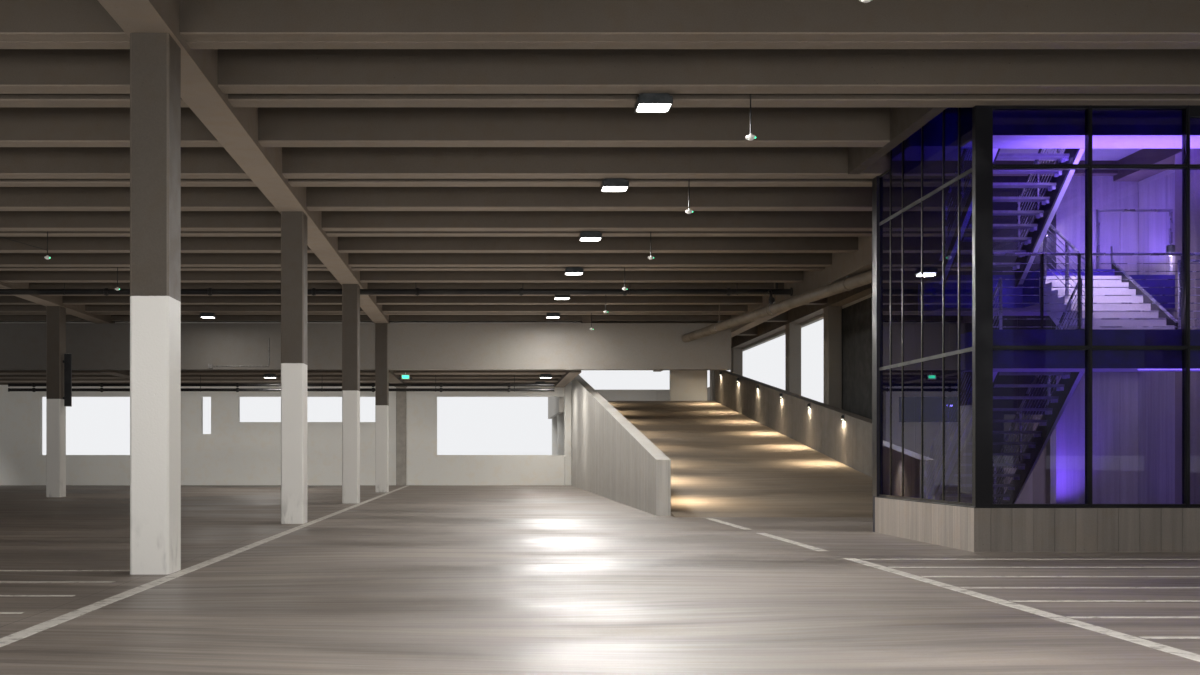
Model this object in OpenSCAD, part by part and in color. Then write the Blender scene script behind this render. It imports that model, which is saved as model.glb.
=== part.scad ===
// Multi storey car park: the aisle hall, a half-storey ramp and a glazed stair, as a 1:2 scale model.
// All sizes are millimetres of the model. +X runs across the aisles, +Y along them towards the rear,
// and Z rises from the underside of the ground slab. Heights called "above the floor" start on that slab.

/* [Grid] */
// Column bay along the aisles
bay = 5485; // [5200:5:5800]
// Bays along the ramp side; the last one is the rear wing
bays = 6; // [6:1:7]
// Left wall face to column line B
left_span = 5200; // [4900:10:5600]
// Column line B to column line A
middle_span = 5185; // [4900:5:5600]
// Column line A to the middle of the drop beam
aisle_span = 6615; // [6500:5:6900]
// Middle of the drop beam to the right wall face
right_strip = 1300; // [1250:10:1500]

/* [Storey] */
// Thickness of the ground slab
slab_t = 150; // [120:10:200]
// Floor to the underside of the girders
clear_h = 3150; // [3050:10:3400]
// Rib underside above the girder underside
rib_rise = 50; // [20:5:80]
// Depth of a rib below the deck
rib_d = 300; // [260:10:360]
// Thickness of a deck
deck_t = 100; // [80:5:130]
// Height of a parapet or crash wall above its deck
guard_h = 550; // [450:10:650]
// How far a facade panel hangs below the beam that it covers
panel_drop = 50; // [20:5:90]

/* [Frame members] */
// Column width across the aisle
col_w = 228; // [200:2:260]
// Column depth along the aisle
col_d = 305; // [270:5:340]
// Chamfer on column corners
col_chamfer = 12; // [6:1:20]
// Girder width
girder_w = 275; // [250:5:320]
// Rib width
rib_w = 200; // [170:5:220]
// Spacing of the two ribs of a pair, middle to middle
rib_pair = 350; // [320:5:400]
// Chamfer on the rib's lower edges
rib_chamfer = 8; // [4:1:14]
// Width of each of the two ribs beside the deck's cross joint
split_rib_w = 147; // [120:1:170]
// Drop beam width
drop_w = 200; // [170:5:230]
// Drop beam underside below the girder underside
drop_hang = 175; // [120:5:250]
// Width of the piers beside the ramp
pier_w = 160; // [130:5:190]

/* [Walls and joints] */
// Thickness of a facade panel
panel_t = 100; // [80:5:130]
// Joint between panels or deck plates
joint = 6; // [4:1:10]
// Thickness of the rear wall
rear_t = 150; // [120:5:200]
// Right jamb of the vehicle entrance, from line A
entrance_w = 4465; // [4200:5:4800]

/* [Rear bay] */
// Step down from the girder underside to the low girder underside
low_step = 900; // [850:5:950]
// Transfer beam underside above the low girder underside
transfer_rise = 40; // [10:5:150]
// Transfer beam thickness
transfer_t = 250; // [210:5:280]
// Head of the rear windows below the low girder underside
head_drop = 215; // [150:5:290]

/* [Ramp] */
// Line A to the ramp's left edge
drive_w = 4065; // [3950:5:4150]
// Ramp's right edge to the inner face of the right panels
ramp_side = 650; // [630:10:680]
// Foot of the ramp beyond the second column line
ramp_foot = 1235; // [1000:5:1500]
// Rise of the ramp to the landing
ramp_rise = 1935; // [1850:5:2000]
// Thickness of the ramp slab and of the landing
ramp_t = 150; // [120:5:180]
// Thickness of the ramp walls
guard_t = 165; // [140:5:190]
// Height of the left ramp wall above the ramp
guard_left_h = 595; // [550:5:650]
// Height of the right ramp wall above the ramp
guard_right_h = 730; // [680:5:760]
// Depth of the landing beams
landing_beam_d = 250; // [200:5:300]

/* [Stair tower] */
// Width of the tower, from the right wall face
tower_w = 2450; // [2420:5:2480]
// Height of the concrete base
base_h = 315; // [280:5:350]
// Thickness of the base and the back wall
base_t = 120; // [100:5:140]
// Mullion width
mullion_w = 28; // [24:1:34]
// Mullion depth
mullion_d = 60; // [50:2:70]
// Depth of the slim frame on the left side
side_frame_d = 24; // [20:2:30]
// Width of the bars in the slim frame
side_bar_w = 14; // [10:1:18]
// Width of the corner post
corner_w = 125; // [100:5:140]
// Spacing of the front mullions
pane_w = 700; // [680:5:705]
// Lower transom above the floor
transom_low = 1465; // [1420:5:1500]
// Upper transom above the floor
transom_high = 2765; // [2700:5:2820]
// Thickness of the glass
glass_t = 12; // [10:1:16]

/* [Stair] */
// Width of a flight
flight_w = 620; // [600:5:630]
// Gap between the glass frame and the left flight
flight_gap = 320; // [300:5:335]
// Open well between the two flights
well_w = 50; // [40:5:65]
// Stringer thickness
stringer_t = 16; // [12:1:20]
// Stringer depth, measured upright
stringer_d = 210; // [180:5:230]
// Tread thickness
tread_t = 20; // [16:1:26]
// Front landing above the floor
front_landing_h = 1600; // [1550:5:1650]
// Depth of the front landing
front_landing_d = 400; // [360:5:420]
// Back landing above the floor
back_landing_h = 2225; // [2150:5:2300]
// Depth of the back landing
back_landing_d = 620; // [600:5:640]
// Drop from the deck to the upper front landing
high_landing_drop = 320; // [300:5:340]
// Thickness of the stair landings
landing_t = 280; // [240:5:290]
// Height of the handrails on the flights
rail_h = 465; // [440:5:490]
// Height of the guards on the landings
guard_rail_h = 550; // [520:5:580]
// Diameter of the handrails
rail_tube_d = 22; // [18:1:26]
// Clear height of the stair head
head_h = 1250; // [1150:10:1300]
// Height of a door opening
door_h = 1060; // [1000:5:1100]
// Width of a door opening
door_w = 470; // [430:5:500]

/* [Services] */
// Side of a square luminaire
lamp_w = 240; // [210:5:260]
// Height of a luminaire body
lamp_h = 70; // [50:2:80]
// Height of a luminaire lens
lens_h = 14; // [10:1:20]
// Row of luminaires, from line A
lamp_row = 3130; // [3000:10:3300]
// Row of sensors, from line A
sensor_row = 3810; // [3700:10:3850]
// Length of a sensor rod below the deck
sensor_drop = 570; // [540:10:640]
// Diameter of the sprinkler main
main_d = 85; // [70:1:95]
// Sprinkler main below the girders, to its middle
main_drop = 62; // [55:1:100]
// Diameter of the drain pipe
drain_d = 155; // [130:1:165]

/* [Hidden] */

// Column lines across the aisles
x_right = (left_span + middle_span + aisle_span + right_strip) / 2;
x_left = -x_right;
line_b = x_left + left_span;
line_a = line_b + middle_span;
drop_x = x_right - right_strip;
in_left = x_left + panel_t;
in_right = x_right - panel_t;
drop_left = drop_x - drop_w / 2;
drop_right = drop_x + drop_w / 2;
ramp_x0 = line_a + drive_w;
ramp_x1 = in_right - ramp_side;
pier_x1 = ramp_x0 - guard_t;
pier_x0 = pier_x1 - pier_w;
col_left_x = in_left + col_w / 2;
col_right_x = in_right - col_w / 2;
beam_left_x1 = in_left + col_w;
beam_right_x0 = in_right - col_w;

// Column lines along the aisles: half(0) is the front line and each step is half a bay
half = bay / 2;
step_line = 2 * (bays - 2);
rear_line = 2 * (bays - 1);
last_line = 2 * bays;
function line_y(k) = (k - bays) * half;
function pair_y(k) = (k + 0.5 - bays) * half;
y_front = line_y(0) - col_d / 2;
y_rear = line_y(last_line) + col_d / 2;
step_y = line_y(step_line) + col_d / 2;
main_rear_y = line_y(rear_line) + col_d / 2;
beam_back_y = line_y(step_line) + transfer_t / 2;

// Heights above the floor
drop_soffit = clear_h - drop_hang;
low_clear = clear_h - low_step;
transfer_soffit = low_clear + transfer_rise;
window_head = low_clear - head_drop;
rib_soffit = clear_h + rib_rise;
deck_soffit = rib_soffit + rib_d;
deck_top = deck_soffit + deck_t;
low_rib_soffit = low_clear + rib_rise;
low_deck_soffit = low_rib_soffit + rib_d;
low_deck_top = low_deck_soffit + deck_t;
girder_h = rib_rise + rib_d;
deck_z = [deck_soffit, deck_top];
landing_z = [ramp_rise - ramp_t, ramp_rise];
rear_y = [line_y(rear_line) - rear_t / 2, line_y(rear_line) + rear_t / 2];
low_edge_x0 = pier_x0 - col_w;

// Cross joint of the deck, with a rib on each side, just behind the second column line
split_line = 2;
split_y = line_y(split_line) + 165;

// Right facade: panels close its bays from the tower to a line, and one bay near the ramp's head is wide
screen_line = 7;
screen_panels = 11;
wide_line = rear_line - 1;

// Ramp
ramp_y0 = line_y(4) + ramp_foot;
ramp_y1 = line_y(rear_line) - col_d / 2;
slope = ramp_rise / (ramp_y1 - ramp_y0);
guard_left_start = 350;
guard_panels = 8;
screen_w = 850;
screen_gap = 150;
screen_x = [ramp_x1 - screen_gap - screen_w, ramp_x1 - screen_gap];
screen_y = ramp_y1 + 60;
ramp_light_w = [50, 70, 60];
ramp_light_cut = [0.7, 0.4, 0.6];
ramp_light_drop = 20;
ramp_lights_count = 6;
ramp_light_first = 4400;
ramp_light_pitch = 1960;

// Stair tower, framed by the rib pairs on both sides of the fourth column line
tower_line = 3;
tower_x0 = x_right - tower_w;
tower_y0 = pair_y(tower_line - 1) + rib_pair / 2 + rib_w / 2;
tower_y1 = pair_y(tower_line) - rib_pair / 2 + rib_w / 2;
hole_y1 = tower_y1 - rib_w;
back_y0 = tower_y1 - base_t;
frame_y0 = tower_y0 - mullion_d;
frame_x1 = tower_x0 + mullion_d;
trimmer_w = 100;
trimmer_gap = 180;
trimmer_x0 = tower_x0 - trimmer_gap - trimmer_w;
head_wall_t = 100;
hole_x0 = tower_x0 + head_wall_t;
side_shares = [2, 2, 3, 3, 2, 2];
side_units = 14;
base_lip = 15;
pane_lip = 20;

// Stair
lane_x0 = frame_x1 + flight_gap;
lane_x1 = lane_x0 + flight_w;
lane_x2 = lane_x1 + well_w;
lane_x3 = lane_x2 + flight_w;
hole_x1 = beam_right_x0;
door_x0 = lane_x2 + 90;
front_landing_y = tower_y0 + front_landing_d;
back_landing_y = back_y0 - back_landing_d;
lower_risers = 18;
middle_risers = 9;
upper_risers = 12;
head_risers = 4;
middle_going = 115;
middle_top_y = front_landing_y + (middle_risers - 1) * middle_going;
lower_foot_gap = 110;
lower_foot_y = back_y0 - lower_foot_gap;
high_landing_h = deck_top - high_landing_drop;
head_top_y = front_landing_y + (head_risers - 1) * middle_going;
head_waist = 200;
head_roof_t = 80;
head_roof_lip = 60;
rail_post = 20;
glass_guard_gap = 45;
stringer_posts = 4;
nosing_lift = 15;

// Rear windows: distances of the jambs from line B and line A
rear_window_sill = 695;
small_window_sill = 1175;
high_window_sill = 1450;
wide_window = [line_b - 3100, line_b - 800];
small_window = [line_b + 600, line_b + 820];
high_window = [line_b + 1450, line_a - 435];
view_window = [line_a + 815, pier_x0];

// Services
rod_d = 10;
sensor_d = 70;
sensor_h = 32;
sensor_taper = 0.6;
left_sensor_x = line_a - 0.576 * middle_span;
lamp_edge = 10;
lamp_gear_share = 0.8;
left_lamp_x = line_a - 0.572 * middle_span;
low_left_lamp_x = line_a - 0.45 * middle_span;
low_pipe_d = 60;
low_pipe_drop = 100;
low_pipe_gap = 190;
low_pipe_y = line_y(step_line) + 0.684 * half;
low_pipe_x = [line_b - 0.48 * left_span, low_edge_x0 - 200];
main_gap = 250;
main_y = line_y(6) + main_gap;
main_x0 = line_b - 0.69 * left_span;
main_x1 = drop_left - 100;
drain_z = drop_soffit - drain_d / 2 - 30;
drain_start = [ramp_x0 + 0.516 * (ramp_x1 - ramp_x0), line_y(step_line) - transfer_t / 2 - 20];
drain_reach = 390;
drain_end_gap = 40;
drain_end = [drop_right + drain_reach, tower_y1 + drain_end_gap];
coupling_shares = [0.14, 0.38, 0.62, 0.86];
coupling_l = 60;
coupling_rim = 20;
drain_hanger_y = 500;
blade = [115, 30, 885];
blade_z = 1500;
blade_gap = 24;
blade_bracket = 40;
blade_inset = 120;
blade_line = 7;

concrete = "#8d8479";
pale_concrete = "#a39c92";
white_paint = "#d9d6ce";
steel_black = "#26262b";

// A box from its limits along X, Y and Z, with Z measured from the floor
module box(x, y, z) {
    translate([x[0], y[0], slab_t + z[0]]) cube([x[1] - x[0], y[1] - y[0], z[1] - z[0]]);
}

// A prism along X from an outline in Y and Z, with Z measured from the floor
module prism_x(x0, x1, outline) {
    translate([x0, 0, slab_t]) rotate([90, 0, 90]) linear_extrude(x1 - x0) polygon(outline);
}

// A bar along X with two chamfered lower edges, as cast joists have
module rib(x0, x1, y, z0, b = rib_w) {
    w = b / 2;
    c = rib_chamfer;
    prism_x(x0, x1, [
        [y - w + c, z0], [y + w - c, z0], [y + w, z0 + c],
        [y + w, z0 + rib_d], [y - w, z0 + rib_d], [y - w, z0 + c]
    ]);
}

// A column with chamfered corners
module column(x, y, h, w = col_w) {
    c = col_chamfer;
    a = w / 2;
    b = col_d / 2;
    translate([x, y, slab_t]) linear_extrude(h) polygon([
        [-a + c, -b], [a - c, -b], [a, -b + c], [a, b - c],
        [a - c, b], [-a + c, b], [-a, b - c], [-a, -b + c]
    ]);
}

// Ribs of lines k0 to k1: one on each half-bay line and a pair between two lines
module rib_row(x0, x1, k0, k1, z0, skip = []) {
    for (k = [k0:k1]) if (len([for (s = skip) if (s == k) s]) == 0) rib(x0, x1, line_y(k), z0);
    for (k = [k0:k1 - 1]) for (s = [-1, 1]) rib(x0, x1, pair_y(k) + s * rib_pair / 2, z0);
}

// The two ribs beside the deck's cross joint
module split_ribs(x0, x1)
    for (s = [-1, 1]) rib(x0, x1, split_y + s * (split_rib_w + joint) / 2, rib_soffit, split_rib_w);

// Plates or panels between consecutive places along Y, with an open joint between them
module row_along_y(x, places, z) {
    last = len(places) - 2;
    for (i = [0:last]) {
        a = places[i] + (i == 0 ? 0 : joint / 2);
        b = places[i + 1] - (i == last ? 0 : joint / 2);
        box(x, [a, b], z);
    }
}

// The same between places along X
module row_along_x(y, places, z) {
    last = len(places) - 2;
    for (i = [0:last]) {
        a = places[i] + (i == 0 ? 0 : joint / 2);
        b = places[i + 1] - (i == last ? 0 : joint / 2);
        box([a, b], y, z);
    }
}

// Column lines between two lines, as places for panel joints
function bay_lines(k0, k1) = [for (k = [k0:2:k1]) line_y(k)];

module ground_slab() color(pale_concrete) {
    wing_y = main_rear_y + panel_t;
    translate([0, 0, -slab_t]) {
        box([x_left, x_right], [y_front - panel_t, wing_y], [0, slab_t]);
        box([pier_x0 - panel_t, x_right], [wing_y + joint, y_rear + panel_t], [0, slab_t]);
    }
}

module columns_line_a() color(concrete) {
    for (k = [0:2:step_line]) column(line_a, line_y(k), clear_h);
    column(line_a, line_y(rear_line), low_clear);
}

module columns_line_b() color(concrete) {
    column(line_b, line_y(0), clear_h);
    for (k = [1:2:step_line - 1]) column(line_b, line_y(k), clear_h);
    for (k = [step_line + 1, rear_line]) column(line_b, line_y(k), low_clear);
}

module facade_columns() color(concrete) {
    for (k = [0:step_line]) column(col_left_x, line_y(k), clear_h);
    for (k = [step_line + 1:rear_line]) column(col_left_x, line_y(k), low_clear);
    for (k = [0:last_line]) if (k != wide_line) column(col_right_x, line_y(k), clear_h);
}

// Piers on the ramp's left side, and the screen wall at its head
module ramp_piers() color(white_paint) {
    for (k = [rear_line:last_line]) column((pier_x0 + pier_x1) / 2, line_y(k), clear_h, pier_w);
    box(screen_x, [screen_y, screen_y + panel_t], [ramp_rise, drop_soffit]);
}

// Beams along Y that carry the ribs
module beam_along_y(x, y, z0) {
    box(x, y, [z0, z0 + girder_h]);
}

module girders() color(concrete) {
    for (x = [line_a, line_b])
        beam_along_y([x - girder_w / 2, x + girder_w / 2], [y_front, step_y], clear_h);
    beam_along_y([pier_x0, pier_x1], [line_y(step_line) - transfer_t / 2, y_rear], clear_h);
}

module edge_beams() color(concrete) {
    beam_along_y([in_left, beam_left_x1], [y_front, step_y], clear_h);
    beam_along_y([in_left, beam_left_x1], [step_y, main_rear_y], low_clear);
    beam_along_y([beam_right_x0, in_right], [y_front, y_rear], clear_h);
}

module drop_beam() color(concrete)
    box([drop_left, drop_right], [tower_y1, y_rear], [drop_soffit, deck_soffit]);

module bracket_beams() color(concrete)
    for (k = [tower_line + 1:last_line])
        box([drop_right, beam_right_x0], [line_y(k) - rib_w / 2, line_y(k) + rib_w / 2],
            [rib_soffit, deck_soffit]);

// Beams beside the roof opening over the upper flight
module trimmer_beams() color(concrete)
    box([trimmer_x0, trimmer_x0 + trimmer_w], [tower_y0, hole_y1], [rib_soffit, deck_soffit]);

module transfer_beam() color(pale_concrete) {
    y = [line_y(step_line) - transfer_t / 2, beam_back_y];
    box([beam_left_x1, line_a - col_w / 2], y, [transfer_soffit, clear_h]);
    box([line_a + col_w / 2, drop_left], y, [transfer_soffit, clear_h]);
}

module low_girders() color(concrete) {
    y1 = main_rear_y;
    beam_along_y([line_a - girder_w / 2, line_a + girder_w / 2], [step_y, y1], low_clear);
    beam_along_y([line_b - girder_w / 2, line_b + girder_w / 2], [beam_back_y, y1], low_clear);
    beam_along_y([low_edge_x0, pier_x0], [beam_back_y, y1], low_clear);
}

module ribs_left() color(concrete) {
    for (x = [[beam_left_x1, line_b - girder_w / 2], [line_b + girder_w / 2, line_a - girder_w / 2]]) {
        rib_row(x[0], x[1], 0, step_line, rib_soffit, [split_line]);
        split_ribs(x[0], x[1]);
    }
}

// In front of the tower the ribs reach the right edge beam, and behind it they stop at the drop beam.
// The rib on the tower's line stops at the trimmers, and the one on the step at the ramp girder.
module ribs_right() color(concrete) {
    x0 = line_a + girder_w / 2;
    rib_row(x0, beam_right_x0, 0, tower_line, rib_soffit, [split_line, tower_line]);
    split_ribs(x0, beam_right_x0);
    rib(x0, beam_right_x0, pair_y(tower_line) - rib_pair / 2, rib_soffit);
    rib(x0, drop_left, pair_y(tower_line) + rib_pair / 2, rib_soffit);
    rib(x0, trimmer_x0, line_y(tower_line), rib_soffit);
    rib_row(x0, drop_left, tower_line + 1, step_line, rib_soffit, [step_line]);
    rib(x0, pier_x0, line_y(step_line), rib_soffit);
    rib(pier_x1, drop_left, line_y(step_line), rib_soffit);
    rib_row(pier_x1, drop_left, step_line, last_line, rib_soffit, [step_line]);
}

module low_ribs() color(concrete) {
    k = step_line;
    z = low_rib_soffit;
    rib_row(beam_left_x1, line_b - girder_w / 2, k, rear_line, z, [k]);
    rib_row(line_b + girder_w / 2, line_a - girder_w / 2, k, rear_line, z, [k]);
    rib_row(line_a + girder_w / 2, low_edge_x0, k, rear_line, z, [k]);
}

module deck_left() color(concrete)
    for (x = [[in_left, line_b - joint / 2], [line_b + joint / 2, line_a]])
        row_along_y(x, concat([y_front, split_y], bay_lines(4, step_line - 2), [step_y]), deck_z);

// The plates leave an opening over the tower for the upper flight
module deck_right() color(concrete) {
    strip_y = [tower_y0 + joint, hole_y1 - joint];
    row_along_y([line_a, in_right], [y_front, split_y, tower_y0], deck_z);
    box([line_a, hole_x0], strip_y, deck_z);
    box([hole_x1, in_right], strip_y, deck_z);
    row_along_y([line_a, in_right], concat([hole_y1], bay_lines(4, step_line - 2), [step_y]), deck_z);
    row_along_y([pier_x0, in_right], [step_y + joint, line_y(rear_line), y_rear], deck_z);
}

module low_deck() color(concrete)
    row_along_x([step_y, main_rear_y], [in_left, line_b, line_a, pier_x0],
        [low_deck_soffit, low_deck_top]);

// Sloped slab that starts flush with the floor
module ramp_slab() color("#8a7a66")
    prism_x(ramp_x0, ramp_x1, [
        [ramp_y0, 0], [ramp_y0 + ramp_t / slope, 0],
        [ramp_y1, ramp_rise - ramp_t], [ramp_y1, ramp_rise]
    ]);

function ramp_z(y) = slope * (y - ramp_y0);

// Wall beside the ramp, from the floor to a height above the ramp
module ramp_wall(x0, y0, y1, h) {
    prism_x(x0, x0 + guard_t, [[y0, 0], [y1, 0], [y1, ramp_z(y1) + h], [y0, ramp_z(y0) + h]]);
}

module ramp_wall_left() color(pale_concrete)
    ramp_wall(ramp_x0 - guard_t, ramp_y0 + guard_left_start, ramp_y1, guard_left_h);

module ramp_wall_right() color(pale_concrete) {
    pitch = (ramp_y1 - ramp_y0) / guard_panels;
    for (i = [0:guard_panels - 1]) {
        y = ramp_y0 + i * pitch;
        ramp_wall(ramp_x1, y, y + pitch - (i < guard_panels - 1 ? joint : 0), guard_right_h);
    }
}

module landing_beams() color(concrete)
    for (k = [rear_line:last_line])
        box([pier_x1, beam_right_x0], [line_y(k) - rib_w / 2, line_y(k) + rib_w / 2],
            [landing_z[0] - landing_beam_d, landing_z[0]]);

// Landing slab, notched round the piers and the right columns
module landing_deck() color("#8a7a66") difference() {
    box([pier_x0, in_right], [ramp_y1, y_rear], landing_z);
    for (k = [rear_line:last_line]) {
        y = [line_y(k) - col_d / 2 - 1, line_y(k) + col_d / 2 + 1];
        box([pier_x0 - 1, pier_x1], y, [0, clear_h]);
        box([beam_right_x0, in_right + 1], y, [0, clear_h]);
    }
}

// Ground-floor crash walls on the outer lines, open at the vehicle entrance
module crash_walls() color(pale_concrete) {
    z = [0, guard_h];
    front = [y_front - panel_t, y_front];
    rear = [y_rear, y_rear + panel_t];
    wing = [pier_x0 - panel_t, pier_x0];
    row_along_x(front, [x_left, line_b, line_a + col_w / 2], z);
    row_along_x(front, [line_a + entrance_w, x_right], z);
    row_along_y([x_left, in_left], concat([y_front + joint], bay_lines(2, step_line), [main_rear_y]), z);
    row_along_y([in_right, x_right], [y_front + joint, line_y(2), frame_y0 - base_lip], z);
    row_along_y([in_right, x_right], concat([tower_y1], bay_lines(4, rear_line), [y_rear - joint]), z);
    row_along_x(rear, [wing[0], drop_x, x_right], z);
    row_along_y(wing, [main_rear_y + panel_t + joint, y_rear - joint], z);
}

// Wall panels between the crash wall and the spandrels, from the tower to the screen line
module side_screen() color(concrete) {
    pitch = (line_y(screen_line) - tower_y1) / screen_panels;
    row_along_y([in_right, x_right], [for (i = [0:screen_panels]) tower_y1 + i * pitch],
        [guard_h, clear_h - panel_drop]);
}

// Spandrel and parapet panels round the high roof
module roof_panels() color(pale_concrete) {
    z = [clear_h - panel_drop, deck_top + guard_h];
    wing = [pier_x0 - panel_t, pier_x0];
    row_along_x([y_front - panel_t, y_front], [x_left, line_b, line_a, drop_x, x_right], z);
    row_along_y([x_left, in_left], concat([y_front + joint], bay_lines(2, step_line - 2), [step_y]), z);
    row_along_y([in_right, x_right], concat([y_front + joint], bay_lines(2, rear_line), [y_rear - joint]),
        z);
    row_along_x([y_rear, y_rear + panel_t], [wing[0], drop_x, x_right], z);
    row_along_y(wing, [step_y + panel_t + joint, line_y(rear_line), y_rear - joint], z);
}

// Guard on the step between the two roofs, the low roof's own panels, and those round the landing
module low_panels() color(pale_concrete) {
    z = [low_clear - panel_drop, low_deck_top + guard_h];
    row_along_x([step_y, step_y + panel_t], [in_left + joint, line_b, line_a, pier_x0],
        [clear_h, deck_top + guard_h]);
    row_along_y([x_left, in_left], [step_y + joint, main_rear_y - joint], z);
    row_along_x([main_rear_y, main_rear_y + panel_t],
        [x_left, line_b, line_a, pier_x0 - panel_t - joint], z);
    landing = [landing_z[0] - 2 * panel_drop, ramp_rise + guard_h];
    row_along_y([pier_x0 - panel_t, pier_x0], [main_rear_y + panel_t + joint, y_rear - joint], landing);
    row_along_x([y_rear, y_rear + panel_t], [pier_x0 - panel_t, drop_x, x_right], landing);
    row_along_y([in_right, x_right], [line_y(rear_line), y_rear - joint], landing);
}

// Rear wall of the hall: piers between the windows, sills under them and heads over them
module rear_wall_piers() color(white_paint) {
    z = [0, window_head];
    box([beam_left_x1, wide_window[0]], rear_y, z);
    box([wide_window[1], line_b - col_w / 2], rear_y, z);
    box([line_b + col_w / 2, small_window[0]], rear_y, z);
    box([small_window[1], high_window[0]], rear_y, z);
    box([high_window[1], line_a - col_w / 2], rear_y, z);
    box([line_a + col_w / 2, view_window[0]], rear_y, z);
}

module rear_wall_sills() color(white_paint) {
    box(wide_window, rear_y, [0, rear_window_sill]);
    box(small_window, rear_y, [0, small_window_sill]);
    box(high_window, rear_y, [0, high_window_sill]);
    box(view_window, rear_y, [0, rear_window_sill]);
}

// A head from x0 to x1, notched at its ends where a girder is wider than its column
module window_lintel(x0, x1, notch0, notch1) {
    translate([0, rear_y[1], slab_t]) rotate([90, 0, 0]) linear_extrude(rear_t) polygon([
        [x0, window_head], [x1, window_head], [x1, low_clear], [x1 - notch1, low_clear],
        [x1 - notch1, low_rib_soffit], [x0 + notch0, low_rib_soffit], [x0 + notch0, low_clear],
        [x0, low_clear]
    ]);
}

module rear_wall_heads() color(white_paint) {
    notch = (girder_w - col_w) / 2;
    window_lintel(beam_left_x1, line_b - col_w / 2, 0, notch);
    window_lintel(line_b + col_w / 2, line_a - col_w / 2, notch, notch);
    window_lintel(line_a + col_w / 2, pier_x0, notch, pier_x0 - low_edge_x0);
}

// L-shaped plinth under the tower's glass
module stair_base() color(pale_concrete) {
    x = tower_x0 - base_lip;
    y = frame_y0 - base_lip;
    box([x, in_right], [y, y + base_t], [0, base_h]);
    box([x, x + base_t], [y, back_y0], [0, base_h]);
}

// Mullion middles on the front and joints on the left side
front_count = floor((in_right - tower_x0 - corner_w) / pane_w);
front_marks = [for (i = [1:front_count]) tower_x0 + corner_w + i * pane_w];
front_from = concat([tower_x0 + corner_w], [for (m = front_marks) m + mullion_w / 2]);
front_to = concat([for (m = front_marks) m - mullion_w / 2], [in_right]);
function share_sum(n) = n == 0 ? 0 : side_shares[n - 1] + share_sum(n - 1);
side_unit = (back_y0 - tower_y0) / side_units;
side_count = len(side_shares);
side_marks = [for (i = [1:side_count - 1]) tower_y0 + share_sum(i) * side_unit];
side_from = concat([tower_y0 + side_bar_w], [for (m = side_marks) m + side_bar_w / 2]);
side_to = concat([for (m = side_marks) m - side_bar_w / 2], [back_y0 - side_bar_w]);
row_from = [base_h + mullion_w, transom_low + mullion_w / 2, transom_high + mullion_w / 2];

// Tops of the three panes in a column of glass whose uppermost one ends at top
function row_to(top) = [transom_low - mullion_w / 2, transom_high - mullion_w / 2, top];

// The front stays under the ribs, and under the edge beam in its last two columns
function front_rows(i) = row_to(i < front_count - 1 ? rib_soffit - pane_lip : clear_h - mullion_w);

// The left side rises to the deck, beside the rib that its last column stays under
function side_rows(i) = row_to((i < side_count - 1 ? deck_soffit : rib_soffit) - pane_lip);
side_frame_x = [tower_x0 + (mullion_d - side_frame_d) / 2, tower_x0 + (mullion_d + side_frame_d) / 2];
side_step_y = side_marks[side_count - 2] + side_bar_w / 2;

// The frames are plates with their panes cut out, so the bars meet as welded or cleated ones do
module stair_frame_front() color(steel_black) difference() {
    box([tower_x0, in_right], [frame_y0, tower_y0], [base_h, rib_soffit]);
    for (i = [0:front_count]) for (j = [0:2])
        box([front_from[i], front_to[i] + (i == front_count ? 1 : 0)],
            [frame_y0 - 1, tower_y0 + 1], [row_from[j], front_rows(i)[j]]);
    edge_beam_notch([frame_y0 - 1, tower_y0 + 1]);
}

// Cut that lets the right edge beam pass over a wall or frame
module edge_beam_notch(y)
    box([beam_right_x0, in_right + 1], y, [clear_h, rib_soffit + 1]);

module stair_frame_left() color(steel_black) difference() {
    prism_x(side_frame_x[0], side_frame_x[1], [
        [tower_y0, base_h], [back_y0, base_h], [back_y0, rib_soffit],
        [side_step_y, rib_soffit], [side_step_y, deck_soffit], [tower_y0, deck_soffit]
    ]);
    for (i = [0:side_count - 1]) for (j = [0:2])
        box([tower_x0 - 1, frame_x1 + 1], [side_from[i], side_to[i]], [row_from[j], side_rows(i)[j]]);
}

module stair_glass() color("#5a58b8", 0.5) {
    y = frame_y0 + (mullion_d - glass_t) / 2;
    x = tower_x0 + (mullion_d - glass_t) / 2;
    for (i = [0:front_count]) for (j = [0:2])
        box([front_from[i], front_to[i]], [y, y + glass_t], [row_from[j], front_rows(i)[j]]);
    for (i = [0:side_count - 1]) for (j = [0:2])
        box([x, x + glass_t], [side_from[i], side_to[i]], [row_from[j], side_rows(i)[j]]);
}

// Concrete walls behind and beside the stair, with a door through the one behind
module stair_back_wall() color(pale_concrete) {
    difference() {
        box([tower_x0, in_right - joint], [back_y0, tower_y1], [0, rib_soffit]);
        box([door_x0, door_x0 + door_w], [back_y0 - 1, tower_y1 + 1], [-1, door_h]);
        edge_beam_notch([back_y0 - 1, tower_y1 + 1]);
    }
    box([in_right, x_right], [frame_y0 - base_lip, tower_y1 - joint], [0, clear_h - panel_drop]);
}

module stair_landings() color(pale_concrete) {
    front_z = [front_landing_h - landing_t, front_landing_h];
    back_z = [back_landing_h - landing_t, back_landing_h];
    high_z = [high_landing_h - landing_t, high_landing_h];
    top_z = [deck_top - landing_t, deck_top];
    box([frame_x1, in_right], [tower_y0, front_landing_y], front_z);
    box([frame_x1, hole_x1], [tower_y0, front_landing_y], high_z);
    box([hole_x0, hole_x1], [back_landing_y, hole_y1], top_z);
    box([lane_x2, hole_x1], [head_top_y, back_landing_y], top_z);
    box([lane_x0, in_right], [back_landing_y, back_y0], back_z);
    box([lane_x2, lane_x3], [middle_top_y, back_landing_y], back_z);
}

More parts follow.
